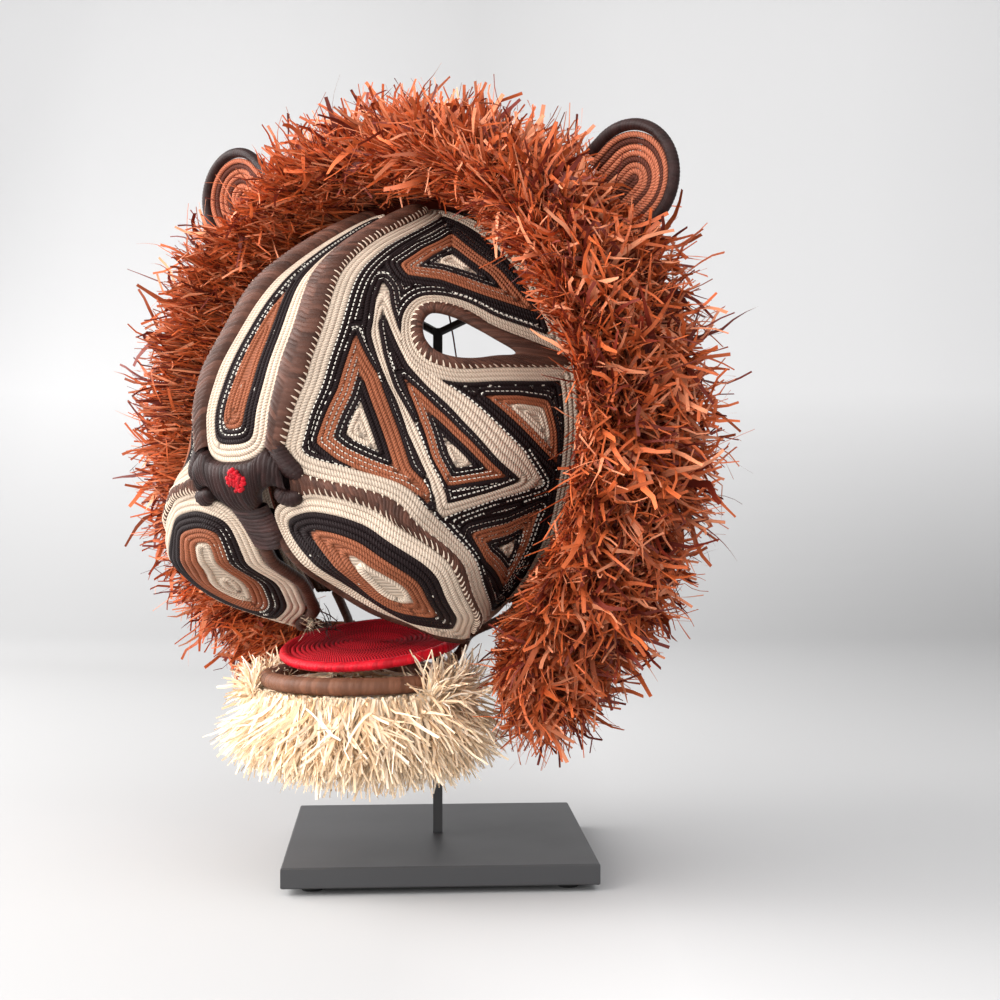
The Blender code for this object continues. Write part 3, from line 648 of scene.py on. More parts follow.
class Look:
    """A material and the nodes that are added to it. A value is a number, a colour or a node's output."""

    def __init__(self, name):
        self.material = bpy.data.materials.new(name)
        self.material.use_nodes = True
        self.tree = self.material.node_tree
        self.shader = self.tree.nodes["Principled BSDF"]

    def put(self, socket, value):
        if isinstance(value, bpy.types.NodeSocket):
            self.tree.links.new(value, socket)
        else:
            socket.default_value = value

    def node(self, kind, values, **settings):
        node = self.tree.nodes.new("ShaderNode" + kind)
        for key, setting in settings.items():
            setattr(node, key, setting)
        for key, value in values.items():
            self.put(node.inputs[key], value)
        return node.outputs

    def attributes(self, *names):
        return [self.node("Attribute", {}, attribute_name=name)["Fac"] for name in names]

    def maths(self, operation, *values):
        return self.node("Math", dict(enumerate(values)), operation=operation)[0]

    def scaled(self, value, factor, offset):
        return self.maths("MULTIPLY_ADD", value, factor, offset)

    def noise(self, scale, detail=2.0, roughness=0.5, vector=None):
        if vector is None:
            vector = self.node("TexCoord", {})["Object"]
        values = {"Scale": scale, "Detail": detail, "Roughness": roughness, "Vector": vector}
        return self.node("TexNoise", values)["Fac"]

    def vector(self, x, y, z=0.0):
        return self.node("CombineXYZ", {0: x, 1: y, 2: z})[0]

    def mix(self, factor, a, b, blend="MIX"):
        return self.node("Mix", {0: factor, 6: a, 7: b}, data_type="RGBA", blend_type=blend)[2]

    def shaded_tint(self, shade):
        """The colour that the mesh gives, times the shade."""
        tint = self.node("Attribute", {}, attribute_name="tint")["Color"]
        return self.mix(1.0, tint, self.vector(shade, shade, shade), "MULTIPLY")

    def finish(self, colour, roughness, specular=None, height=None, distance=0.0, strength=1.0):
        """The material with this surface; height, where given, is a bump of this distance."""
        self.put(self.shader.inputs["Base Color"], colour)
        self.put(self.shader.inputs["Roughness"], roughness)
        if specular is not None:
            self.shader.inputs["Specular IOR Level"].default_value = specular
        if height is not None:
            values = {"Distance": distance, "Strength": strength, "Height": height}
            self.put(self.shader.inputs["Normal"], self.node("Bump", values)["Normal"])
        return self.material


def coil_material(name, contrast=0.35):
    """Coiled palm fibre: slanted stitches over each row, with painted shade in the grooves between stitches,
    and dashes where the cord shows between rows.
    """
    stitch, slant, dash_period, dash_share = 1.75, 0.55, 2.9, 0.62
    look = Look(name)
    along, across, lift, dashes = look.attributes("along", "across", "lift", "dashes")
    phase = look.maths("MULTIPLY", look.scaled(across, slant * stitch, along), 2 * math.pi / stitch)
    grooves = look.maths("POWER", look.scaled(look.maths("SINE", phase), 0.5, 0.5), 0.6)
    grain = look.vector(look.maths("MULTIPLY", across, 2.2), look.maths("MULTIPLY", along, 1.1), lift)
    fibres = look.noise(1.0, 2.0, 0.6, grain)
    shade = look.scaled(fibres, 0.5, 0.62)
    # painted shade: the colour darkens in the grooves between stitches, the more so the higher the contrast
    shade = look.maths("MULTIPLY", shade, look.scaled(grooves, contrast, 1.05 - 0.95 * contrast))
    shade = look.maths("MULTIPLY", shade, look.scaled(look.noise(55.0), 0.4, 0.8))
    colour = look.shaded_tint(shade)
    dash = look.maths("LESS_THAN", look.maths("FRACT", look.maths("DIVIDE", along, dash_period)), dash_share)
    near_edge = look.maths("COMPARE", across, 0.70, 0.21)
    shown = look.maths("LESS_THAN", look.scaled(look.noise(160.0), 1.5, -0.25), dashes)
    dash = look.maths("MULTIPLY", look.maths("MULTIPLY", dash, near_edge), shown)
    colour = look.mix(dash, colour, DASH_COLOUR)
    return look.finish(colour, 0.62, 0.12, look.scaled(fibres, 0.35, grooves), 0.0005, 0.9)


def wrap_material(name):
    """Glossy strips of palm leaf, each with its own shade and fine ribs along it."""
    look = Look(name)
    along, across = look.attributes("along", "across")
    grain = look.vector(look.maths("MULTIPLY", along, 4.0), look.maths("MULTIPLY", across, 0.25))
    ribs = look.noise(1.0, 3.0, 0.65, grain)
    colour = look.shaded_tint(look.scaled(ribs, 0.9, 0.5))
    return look.finish(colour, look.scaled(ribs, 0.3, 0.22), 0.17, ribs, 0.0005, 0.8)


def strip_material(name, roughness, contrast):
    """Loose raffia: fine ribs along the strip and a shade of its own."""
    look = Look(name)
    along, across, seed = look.attributes("along", "across", "seed")
    grain = look.vector(look.maths("MULTIPLY", across, 3.0), look.maths("MULTIPLY", along, 0.12), seed)
    ribs = look.noise(1.0, 2.0, 0.6, grain)
    colour = look.shaded_tint(look.scaled(ribs, contrast, 1.02 - 0.5 * contrast))
    return look.finish(colour, roughness, 0.35, ribs, 0.0003, 0.6)


def metal_material():
    look = Look("stand_black")
    grain = look.noise(2600.0, 3.0, 0.6)
    smudges = look.noise(14.0, 3.0, 0.55)
    shade = look.scaled(smudges, 0.012, 0.036)
    colour = look.vector(shade, shade, look.maths("MULTIPLY", shade, 1.06))
    return look.finish(colour, look.scaled(smudges, 0.16, 0.42), None, grain, 0.00008, 0.5)


def rubber_material():
    look = Look("foot_black")
    grain = look.noise(900.0, 2.0, 0.6)
    shade = look.scaled(grain, 0.012, 0.010)
    return look.finish(look.vector(shade, shade, shade), 0.75, None, grain, 0.0001, 0.6)


def paper_material():
    look = Look("paper")
    (shade,) = look.attributes("shade")
    # the paper's colour is the painted light and shade given to each of its points
    return look.finish(look.vector(shade, shade, look.maths("MULTIPLY", shade, 1.006)), 0.95, 0.1)


# Panels of the face


def build_nose_panel(material):
    edge = on_face(NOSE_EDGE, 3.0)
    sheet = Sheet(np.vstack([edge, mirrored(edge[:-1][::-1])]))
    sheet.start(1)
    rows, wide = sheet.rows(lambda s, z: np.interp(z, *NOSE_NARROWS), 40, NOSE_WIDTHS)
    weave(sheet, rows, sheet.within, NOSE_COLOURS, NOSE_DASHES, wide)
    sheet.build(1, "nose_panel_coils", material, "nose_panel", "cream_coil")


def cheek_outline():
    rim = on_face([(3.3, 153), (3.9, 158), (3.98, 166)], 4.0)[1:]
    side = np.stack([np.full(60, 3.98), np.linspace(169, 395, 60)], 1)
    cap = on_face([(3.9, 398), (3.0, 398.6), (2.5, 397.6)], 4.0)
    return np.vstack([on_face(CHEEK_INNER, 3.0)[:-1], on_face(CHEEK_LOWER, 3.0), rim, side, cap])


def eye_row(s, z):
    """Width of a row of the border at this side of the eye."""
    turn = np.degrees(np.arctan2(z - EYE_CENTRE[1], (s - EYE_CENTRE[0]) * 34))
    return np.interp(turn, *np.array(EYE_PITCH).T)


def build_cheeks(material):
    outline = cheek_outline()
    eye = on_face(EYE_RIM, 2.5, True)
    sheet = Sheet(outline)
    sheet.start(1, -1)
    ground = sheet.within & ~sheet.contains(eye)
    sheet.within &= ~sheet.contains(on_face(EYE, 2.5, True))
    edge = sheet.depth(outline) / BORDER_PITCH
    lid, eye_pitch = sheet.distance(eye, eye_row)
    border = np.minimum(edge, lid)
    in_border = ground & (border < BORDER_ROWS)
    weave(sheet, border, in_border, [CREAM], [0], np.where(edge < lid, BORDER_PITCH, eye_pitch))
    ground &= ~in_border
    fields = [np.minimum((edge - BORDER_ROWS) * BORDER_PITCH, (lid - BORDER_ROWS) * eye_pitch)]
    for loop, wide, colours, dashes in FIGURES:
        region = sheet.contains(loop) & ground
        inwards = sheet.depth(loop)
        weave(sheet, inwards / wide, region, colours, dashes, wide)
        fields.append(-inwards)
        ground &= ~region
    outer, hollow = sheet.contains(FIGURE_B) & ground, sheet.contains(FIGURE_B_INSIDE)
    to_outer, to_inner = sheet.depth(FIGURE_B), -sheet.depth(FIGURE_B_INSIDE)
    across = np.maximum(to_outer + to_inner, 1.0)
    wide_leg = sheet.contains(FIGURE_B_WIDE)
    for where, rows in ((wide_leg, 3), (~wide_leg, 2)):
        weave(sheet, rows * to_outer / across, outer & ~hollow & where, [CREAM], [0], across / rows)
    loop, wide, colours, dashes = CORE_FIGURE
    core = sheet.contains(loop) & outer
    to_core = sheet.depth(loop)
    weave(sheet, to_core / wide, core, colours, dashes, wide)
    fill_channels(sheet, [-to_inner, -to_core], outer & hollow & ~core, 0.95)
    fields.append(-to_outer)
    fill_channels(sheet, fields, ground & ~outer, 0.9)
    for sign, side in SIDES:
        sheet.build(sign, "cheek_coils_" + side, material, "cheek_" + side, "black_coil")


def pad_row(s, z, top_row, low_row, outer_more):
    """Width of a pad's row: those of its lower and inner edges are wider, and those of the outer end too."""
    line = np.asarray(PAD_OUTER[:-1])
    top = np.interp(s, *line[np.argsort(line[:, 0])].T) - 9
    low = np.clip((top - z) / 22, 0, 1) * np.clip((3.05 - s) / 0.5, 0, 1)
    return (top_row + (low_row - top_row) * low) * (1 + outer_more * np.clip((s - 2.1) / 0.6, 0, 1))


def build_pads(material):
    sheet = Sheet(np.vstack([on_face(PAD_OUTER, 3.0)[:-1], on_face(PAD_INNER, 3.0)[:-1]]))
    for sign, side, *widths in PAD_ROWS:
        sheet.start(sign)
        rows, wide = sheet.rows(lambda s, z: pad_row(s, z, *widths), 45, PAD_SHARES)
        weave(sheet, rows, sheet.within, PAD_COLOURS, PAD_DASHES, wide)
        sheet.build(sign, "muzzle_coils_" + side, material, "muzzle_pad_" + side, "cream_coil")


# Wrapped pieces


BAND_COLUMNS = 13
BAND_OVER = 0.5  # how far a band reaches past its two lines
BAND_THICK = 2.6
BAND_ROWS = 5  # rows of points to one turn of the leaf
SPIKE_SHARES = np.linspace(-0.12, 1, 5)  # places along one stitch
SPIKE_HALF = 0.62
SPIKE_SUNK = 0.35


def chance(number):
    """A value from 0 to 1 that is always the same for this number."""
    return (np.sin(number * 12.9898) * 43758.5453) % 1.0


def ridged(turn):
    """0 between two turns of leaf and 1 in the middle of one."""
    return np.abs(np.sin(math.pi * turn)) ** 0.7


def arched(u):
    """Height of a dome across its width, 1 in the middle and 0 at -1 and 1."""
    return np.sqrt(np.maximum(0, 1 - np.abs(u) ** 2.4))


def wrapped_band(
    name, one, two, dome, tint, material, node, slot,
    sign=1, closed=False, period=2.0, slant=0.0, deep=0.5, spikes=(),
):
    """A domed strip between two (s, z) lines, wound with leaf whose turns slant to its middle.
    Each of the spikes is (edge, length, spacing): stitches that reach in from edge -1 or 1."""
    if closed:
        one, two = np.vstack([one, one[:1]]), np.vstack([two, two[:1]])
    middle = (face(*one.T) + face(*two.T)) / 2
    one, two = (spaced(line, middle, period / BAND_ROWS, closed) for line in (one, two))
    n = len(one)
    width = np.linalg.norm(face(*one.T) - face(*two.T), axis=1)
    over = (BAND_OVER / np.maximum(width, 1e-3))[:, None]
    rise = np.minimum(dome, width * 0.45)[:, None]

    def surface(rows, u):
        """Points and normals of the face below the places u, from -1 to 1 across the band."""
        w = (1 + 2 * over[rows]) * (u + 1) / 2 - over[rows]
        s = (one[rows, :1] * (1 - w) + two[rows, :1] * w) * sign
        z = one[rows, 1:] * (1 - w) + two[rows, 1:] * w
        return face(s, z), face_normal(s, z)

    u = np.linspace(-1, 1, BAND_COLUMNS)
    skin, normal = surface(np.arange(n), np.tile(u, (n, 1)))
    centre = skin[:, BAND_COLUMNS // 2]
    along = length_along(centre)[:, None]
    turn = along / period + slant * np.abs(u) + 0.22 * np.sin(along / 9.0) + 0.1 * np.sin(along / 2.3 + 3 * u)
    lift = arched(u) * rise + deep * (ridged(turn) - 0.6) * (0.3 + 0.7 * arched(u))
    front = skin + normal * lift[..., None]
    back = skin - normal * (BAND_THICK * (0.25 + 0.75 * arched(u)))[..., None]

    def both(front, back):
        return np.concatenate([front, back[:, ::-1]], 1)

    shade = 0.55 + chance(np.floor(turn).astype(int) + (u > 0) * 977)
    batch = Batch()
    batch.add(
        both(front, back),
        ring_faces(n, 2 * BAND_COLUMNS, closed),
        np.array(tint) * both(shade, shade).reshape(-1, 1),
        along=both(turn, turn).ravel() * period,
        across=np.tile(np.r_[u, u[::-1]], n),
    )
    pace = float(np.linalg.norm(np.diff(centre, axis=0), axis=1).mean())
    for edge, reach, spacing in spikes:
        count = int(n * pace / spacing)
        rows = (np.linspace(0.01, 0.99, count) * n + rng.normal(0, 0.3, count)).astype(int)
        rows = np.clip(rows, 1, n - 2)
        reaches = (2 * (reach * rng.uniform(0.6, 1.25, count) / np.maximum(width[rows], 1.0)))[:, None]
        at = edge * (1 - SPIKE_SHARES * reaches)
        foot, up = surface(rows, at)
        high = arched(at) * rise[rows] + 0.25 * deep + SPIKE_SUNK
        foot = foot + up * high[..., None]
        aside = unit(centre[rows + 1] - centre[rows - 1])[:, None]
        half = (SPIKE_HALF * (1 - np.clip(SPIKE_SHARES, 0, 1)) ** 0.8 + 0.08)[:, None]
        low = foot - up * SPIKE_SUNK
        stitches = np.stack([low - aside * half, foot + up * half * 0.6, low + aside * half], 2)
        batch.add(stitches, patch_faces(count, len(SPIKE_SHARES), 3), np.array(CREAM) * 1.05)
    batch.build(name, material, node, slot)


def wrapped_tube(
    batch, path, normal, wide, high, tint, period, closed=False, slant=0.5, deep=0.06, taper=1.0
):
    """A round cord wound with leaf; path has about five points to a turn."""
    sides = 12
    t = tangents(path, closed)
    side = unit(np.cross(t, normal))
    up = np.cross(side, t)
    along = length_along(path)[:, None]
    q = 2 * math.pi * np.arange(sides) / sides
    turn = along / period + slant * np.cos(q) + 0.15 * np.sin(along / 7.0)
    rib = (1 + deep * (ridged(turn) - 0.6)) * np.reshape(taper, (-1, 1))
    points = path[:, None] + side[:, None] * (wide * np.cos(q) * rib)[..., None]
    points = points + up[:, None] * (high * np.sin(q) * rib)[..., None]
    shade = 0.75 + 0.6 * chance(np.floor(turn))
    batch.add(
        points,
        ring_faces(len(path), sides, closed),
        np.array(tint) * shade.reshape(-1, 1),
        along=(turn * period).ravel(),
        across=np.tile(np.linspace(-1, 1, sides), len(path)),
    )


def build_wraps(material):
    count = 60
    ridge_in = even_on_face(on_face(NOSE_EDGE[:10], 1.5), count)
    ridge_out = even_on_face(on_face(CHEEK_INNER, 1.5), count)
    crease_up = even_on_face(on_face(CHEEK_LOWER, 1.5), count)
    crease_down = even_on_face(on_face(PAD_OUTER[2:14], 1.5), count)
    eye_in, eye_out = (on_face(line, 1.0, True) for line in (EYE, EYE_RIM))
    eye_in, eye_out = (even_on_face(np.vstack([e, e[:1]]), 81)[:-1] for e in (eye_in, eye_out))
    bands = (
        # name, its two lines, height of its dome, whether it closes, how the leaf is wound
        ("ridge_wrap", ridge_in, ridge_out, 4.5, False, dict(
            slant=0.9, period=3.0, deep=0.95, spikes=((1, 2.2, 3.4),))),
        ("cheek_wrap", crease_up, crease_down, 2.5, False, dict(
            slant=0.15, period=2.3, deep=0.7, spikes=((-1, 1.6, 4.5), (1, 3.4, 3.5)))),
        ("eye_rim", eye_in, eye_out, 2.5, True, dict(
            period=1.6, deep=0.35, spikes=((1, 2.3, 3.0),))),
    )
    lip = on_face(PAD_INNER[::-1], 0.4)
    for sign, side in SIDES:
        for name, one, two, dome, closed, winding in bands:
            leaf, node = f"{name}_leaf_{side}", f"{name}_{side}"
            wrapped_band(leaf, one, two, dome, BROWN, material, node, "brown_wrap", sign, closed, **winding)
        s, z = lip[:, 0] * sign, lip[:, 1]
        normal = face_normal(s, z)
        edge = face(s, z)
        path = edge + np.cross(normal, tangents(edge, False)) * -4.6 * sign - normal * 1.5
        batch = Batch()
        wrapped_tube(batch, path, normal, 3.9, 3.4, np.array(BROWN) * 0.75, 2.0)
        batch.build("lip_wrap_leaf_" + side, material, "lip_wrap_" + side, "brown_wrap")


def build_nose(material):
    def whole(half):
        line = even_on_face(on_face(half, 0.8), 60)
        return np.vstack([mirrored(line[1:][::-1]), line])

    winding = dict(period=3.0, deep=1.1, slant=0.5)
    top, bottom = whole(NOSE_TOP), whole(NOSE_BOTTOM)
    wrapped_band("nose_leaf", top, bottom, 6.0, DARK_WRAP, material, "nose", "black_wrap", **winding)
    knobs = Batch()
    for sign in (1, -1):
        for line, wide, high in NOSE_KNOBS:
            sz = smooth_curve(line)
            sz = spaced(sz, face(*sz.T), 0.45)
            s, z = sz[:, 0] * sign, sz[:, 1]
            normal = face_normal(s, z)
            path = face(s, z) + normal * 0.6
            ends = np.sqrt(np.clip(1 - np.abs(np.linspace(-1, 1, len(s))) ** 3, 0.03, 1))
            wrapped_tube(knobs, path, normal, wide, high, DARK_WRAP, 2.4, slant=0.7, deep=0.12, taper=ends)
    knobs.build("nose_knobs", material, slot="black_wrap")
    table = np.array(PHILTRUM, float)
    right, left = (even_on_face(smooth_curve(table[:, [k, 0]]), 30) for k in (1, 2))
    winding = dict(period=2.8, deep=0.9, slant=0.3)
    tint = np.array(DARK_WRAP) * 1.5
    wrapped_band("philtrum", right, left, 4.0, tint, material, None, "black_wrap", **winding)


def build_red_knot(material):
    """The cluster of red stitches on the middle of the nose."""
    count, radius, middle_x, middle_z, nose_half = 80, 5.2, 6.0, 236.8, 40.0
    rings, sides = 5, 8
    v = np.linspace(0, math.pi, rings)[:, None]
    w = 2 * math.pi * np.arange(sides) / sides
    ball = np.stack([np.sin(v) * np.cos(w), np.cos(v) + 0 * w, np.sin(v) * np.sin(w)], -1)
    batch = Batch()
    for _ in range(count):
        q, r = rng.uniform(0, 2 * math.pi), radius * math.sqrt(rng.random())
        s = np.array([(middle_x + r * math.cos(q)) / nose_half])
        z = np.array([middle_z + r * math.sin(q)])
        points = ball * rng.uniform(0.9, 1.7) + face(s, z) + face_normal(s, z) * 6.0
        batch.add(points, ring_faces(rings, sides), np.array(CRIMSON) * rng.uniform(0.5, 1.3))
    batch.build("nose_red_knot", material, slot="tongue_coil")


# Mouth
TONGUE_AT = (0.0, -60.0, 138.5)
TONGUE_RX = 58.0
TONGUE_RY = 50.0
TONGUE_TILT = 0.2
TONGUE_UP = unit(np.array([0.0, -TONGUE_TILT, 1.0]))
TONGUE_ROWS = 16
TONGUE_PITCH = 2.9
LIP_AT = (0.0, -72.0, 120.0)
LIP_R = 52.0
LIP_TUBE = 5.0
BEARD_HALF = 128.0


def tongue_line(inset, spacing):
    """An ellipse on the tilted tongue, this far inside its edge."""
    rx, ry = TONGUE_RX - inset, TONGUE_RY - inset
    n = max(10, int(round(math.pi * (rx + ry) / spacing)))
    q = 2 * math.pi * np.arange(n) / n
    y = ry * np.sin(q)
    return np.stack([rx * np.cos(q), y, y * TONGUE_TILT], 1) + TONGUE_AT


def build_tongue(coil_look, wrap_look):
    coils, rim = Batch(), Batch()
    for k in range(TONGUE_ROWS):
        path = tongue_line(3.6 + TONGUE_PITCH * (k + 0.5), 2.2)
        fade = rng.uniform(0.75, 1.3) * (1.1 - 0.3 * k / TONGUE_ROWS)
        coil(coils, path, TONGUE_UP, np.array(CRIMSON) * fade, 1.42, 2.3, True)
    coils.build("tongue_coils", coil_look, "tongue", "tongue_coil")
    tint = np.array(CRIMSON) * 1.2
    wrapped_tube(rim, tongue_line(2.6, 0.55), TONGUE_UP, 3.0, 3.0, tint, 2.6, True, slant=1.2, deep=0.12)
    rim.build("tongue_edge", wrap_look, slot="tongue_coil")


def build_lip_ring(material):
    batch = Batch()
    n = int(2 * math.pi * LIP_R / 0.65)
    path = around_lip(LIP_R, 2 * math.pi * np.arange(n) / n, LIP_AT[2])
    wrapped_tube(batch, path, (0.0, 0.0, 1.0), LIP_TUBE, LIP_TUBE, LIP_BROWN, 3.4, True, deep=0.05)
    batch.build("lip_ring_leaf", material, "lip_ring", "brown_wrap")


# Ears
EARS = (
    # name, x, z, length below the centre of the arc
    ("left", 159, 402, 13.5),
    ("right", -163, 429, 36.0),
)
EAR_Y = -23.0
EAR_R = 26.0
EAR_CUP = 6.0
EAR_RIM = 3.3
EAR_ROWS = 8
EAR_PITCH = 3.25


def build_ears(coil_look, wrap_look):
    front = (0.0, -1.0, 0.0)
    for name, x, z, keep in EARS:
        out = unit(np.array([x, 0.0, z - 280.0]))
        side = np.cross([0, 1, 0], out)

        def arch(r, steps, low, leg_steps, y_of):
            """A half circle on two straight legs that start at low; y_of gives y from a share of the ear."""
            q = np.linspace(-math.pi / 2, math.pi / 2, steps)
            leg = np.linspace(low, 0, leg_steps)[:-1]
            h = np.r_[leg, r * np.cos(q), leg[::-1]]
            u = np.r_[np.full(len(leg), -r), r * np.sin(q), np.full(len(leg), r)]
            y = y_of(np.minimum(1, (np.maximum(h, 0) ** 2 + u**2) / EAR_R**2))
            return np.array([x, EAR_Y, z]) + out * h[:, None] + side * u[:, None] + [0, 1.0, 0] * y[:, None]

        coils, rim = Batch(), Batch()
        for k in range(EAR_ROWS):
            r = EAR_R - EAR_PITCH * (k + 0.5)
            steps = max(4, int(math.pi * r / 1.8))
            path = arch(r, steps, -keep, max(2, int(keep / 2)), lambda share: EAR_CUP * (1 - share) + 1.5)
            shade = np.array(EAR_DARK if k % 3 == 1 else EAR_LIGHT) * rng.uniform(0.8, 1.1)
            coil(coils, path, front, shade, 1.75, 1.6, dashes=0.22)
        coils.build("ear_coils_" + name, coil_look, "ear_" + name, "ear_coil")
        low = 3.5 - keep
        path = arch(EAR_R + 0.35 + EAR_RIM, 240, low, int(-low / 0.4), lambda share: 0 * share + 1.2)
        wrapped_tube(rim, path, front, EAR_RIM, EAR_RIM, DARK_WRAP, 2.0)
        rim.build("ear_rim_leaf_" + name, wrap_look, "ear_rim_" + name, "dark_wrap")


# Raffia


def strips(
    batch, roots, heads, length, width, tint, bend,
    curl=0.6, droop=0.0, sections=5, painted_root_shade=0.38, wander=0.0, keep=None,
):
    """Ribbons grown from the roots along the heads, each bent, twisted and coloured on its own, with painted
    shade that darkens each one towards its root. wander makes them wavy. keep, where given, says from their
    middle lines which ones stay."""
    n = len(roots)
    way = unit(heads)
    a = unit(np.cross(way, rng.normal(size=(n, 3))))
    b = np.cross(way, a)
    turn = rng.uniform(0, 2 * math.pi, n)[:, None]
    bow = (a * np.cos(turn) + b * np.sin(turn)) * np.abs(rng.normal(0, bend, n))[:, None]
    kink = rng.uniform(0.3, 0.8, n)[:, None]
    kink_way = unit(rng.normal(size=(n, 3)))
    points = [roots]
    for k in range(sections):
        way = unit(way + bow / sections * 1.6 + rng.normal(0, 1, (n, 3)) * wander)
        sharp = (np.abs((k + 1) / sections - kink) < 0.5 / sections) * curl
        way = unit(way + kink_way * sharp + [0, 0, -droop / sections])
        points.append(points[-1] + way * (length / sections)[:, None])
    points = np.stack(points, 1)
    if keep is not None:
        stay = keep(points)
        points, length, width, tint = points[stay], length[stay], width[stay], tint[stay]
        n = len(points)
    rows = sections + 1
    share = np.linspace(0, 1, rows)
    t = unit(np.gradient(points, axis=1))
    flat = unit(np.cross(t[:, 0], rng.normal(size=(n, 3))))[:, None]
    twist, rate = rng.uniform(0, 2 * math.pi, n)[:, None], rng.normal(0, 1.3, n)[:, None]
    flat = unit(flat - t * (flat * t).sum(-1, keepdims=True))
    q = (twist + rate * share)[..., None]
    flat = flat * np.cos(q) + np.cross(t, flat) * np.sin(q)
    wide = width[:, None] * (0.55 + 0.45 * np.sin(math.pi * np.minimum(1, share + 0.12) ** 0.8))
    half = flat * wide[..., None] / 2
    # painted shade: each strip's colour is darkest at its root and reaches full colour along its first part
    dark = painted_root_shade + (1 - painted_root_shade) * np.clip(share * 1.6, 0, 1)
    batch.add(
        np.stack([points - half, points + half], 2),
        patch_faces(n, rows, 2),
        np.repeat(tint[:, None] * dark[:, None], 2, axis=1).reshape(-1, 3),
        along=np.repeat(length[:, None] * share, 2),
        across=np.tile([-1.0, 1.0], n * rows),
        seed=np.repeat(rng.uniform(0, 100, n), 2 * rows),
    )


def build_core(name, rings, tint, material, node, slot):
    """The form that shows between the strips, from rings of points, tinted darker than the strips as painted
    shade of the inside.
    """
    core = Batch()
    core.add(rings, ring_faces(*rings.shape[:2]), tint)
    core.build(name, material, node, slot)


MANE_STATIONS = (
    # z on the collar, outward angle, reach, share of the forward flare
    (401, 90, 54, 0.9),
    (399.5, 83, 54, 0.9),
    (395, 75, 54, 0.92),
    (389, 68, 56, 0.94),
    (380, 59, 58, 0.96),
    (370, 51, 61, 1.0),
    (359, 44, 66, 1.0),
    (346, 36, 68, 1.0),
    (331, 27, 70, 1.0),
    (314, 18, 71, 1.0),
    (297, 10, 72, 1.0),
    (280, 3, 72, 1.0),
    (263, -4, 72, 1.0),
    (247, -11, 72, 1.0),
    (231, -19, 72, 1.0),
    (215, -28, 73, 0.96),
    (202, -37, 74, 0.92),
    (190, -46, 75, 0.88),
    (179, -57, 75, 0.76),
    (170, -68, 75, 0.62),
    (164.5, -79, 74, 0.48),
)
MANE_PROFILE = (
    # share of reach, y
    (0.0, -20), (0.24, -54), (0.52, -82), (0.78, -84), (0.90, -54), (0.90, -18),
    (0.78, 16), (0.4, 25), (0.0, 21),
)
MANE_MIDDLE = (0.5, -30.0)  # of the profile
MANE_GAP = 0.6  # from the rim to the profile
FLARE_Y = -20  # in front of this the profile flares


def crown_x(z):
    """Half width of the rim at this height, rounded over its top."""
    wide = pchip(ROWS[:, 0], ROWS[:, 8], np.clip(z, *FACE_Z))
    return np.where(z > 396, np.sqrt(np.maximum(0, (401 - z) / 5.0)) * 36, wide)


def mane_place(way, ring, inset):
    """Point of the mane's form. way runs from the left end over the top to the right end; ring runs
    along its profile from the face to the back; inset is how far inside it lies."""
    table = np.array(MANE_STATIONS, float)
    columns = crown_x(table[:, 0]), *table.T
    at, stations = np.abs(way) * (len(table) - 1), np.arange(len(table))
    rim, z, angle, reach, flare = (np.interp(at, stations, column) for column in columns)
    share, y = (np.interp(ring, np.arange(len(MANE_PROFILE)), column) for column in zip(*MANE_PROFILE))
    share, y = (m + (value - m) * (1 - inset) for value, m in zip((share, y), MANE_MIDDLE))
    away = MANE_GAP + share * reach
    angle = np.radians(angle)
    y = np.where(y < FLARE_Y, y * flare, y)
    side = np.where(way < 0, -1.0, 1.0)
    return np.stack([side * (rim + away * np.cos(angle)), y, z + away * np.sin(angle)], -1)


def raffia_tints(n, base, spread, light, dark):
    """Shades of one dye: most near the base colour, some paler and some darker."""
    tint = np.array(base)[None] * rng.normal(1, spread, (n, 1)).clip(0.35, 1.8)
    pick = rng.random(n)
    tint = np.where((pick < 0.2)[:, None], np.array(light)[None] * rng.uniform(0.8, 1.15, (n, 1)), tint)
    tint = np.where((pick > 0.82)[:, None], np.array(dark)[None] * rng.uniform(0.7, 1.2, (n, 1)), tint)
    return tint


MANE_COLOUR = (0.52, 0.108, 0.029)
MANE_LIGHT = (0.78, 0.28, 0.14)
MANE_DARK = (0.17, 0.020, 0.009)
MANE_LAYERS = (
    # strips, way from, to, ring from, to, depth from, to, length from, to, width from, to,
    # scatter, bend, wander, combed, sections
    (9500, -1, 1, 0.05, 1.7, 0.10, 0.40, 28, 46, 0.8, 2.0, 0.14, 0.4, 0.03, 1.0, 4),
    (11500, -1, 1, 1.5, 7.9, 0.42, 0.72, 18, 32, 0.9, 2.2, 1.0, 1.5, 0.14, 0.0, 5),
    (10500, -1, 1, 1.6, 7.7, 0.30, 0.54, 26, 44, 1.2, 3.1, 1.15, 2.1, 0.21, 0.3, 5),
    (3600, -1, 1, 1.7, 7.4, 0.26, 0.48, 32, 50, 2.4, 4.6, 1.15, 2.3, 0.20, 0.3, 6),
    (900, 0.93, 1, 0.6, 6.5, 0.10, 0.50, 26, 46, 0.9, 2.4, 1.30, 1.6, 0.16, 0.0, 5),
    (2600, -1, -0.84, 1.0, 7.9, 0.26, 0.48, 8, 16, 0.9, 2.2, 0.90, 1.5, 0.10, 0.0, 4),
    (3400, -1, 1, 7.2, 7.95, 0.02, 0.30, 10, 22, 0.9, 2.2, 0.90, 1.5, 0.10, 0.0, 4),
)
MANE_STRAYS = 420
LOOSE_STRAND = ((-5, -3, 386), (16.6, 13.5, 313))  # one that hangs inside, behind the left eye
MOUTH_CLEAR = (143, 182, -110)  # z from, to, and x at y = 0 of the gap below the right muzzle pad
FACE_SPARE = ((296, 325, 360, 396), (0, 17, 20, 8))  # z, and how much further in a strip may reach there
EAR_CLEAR = EAR_R + 5
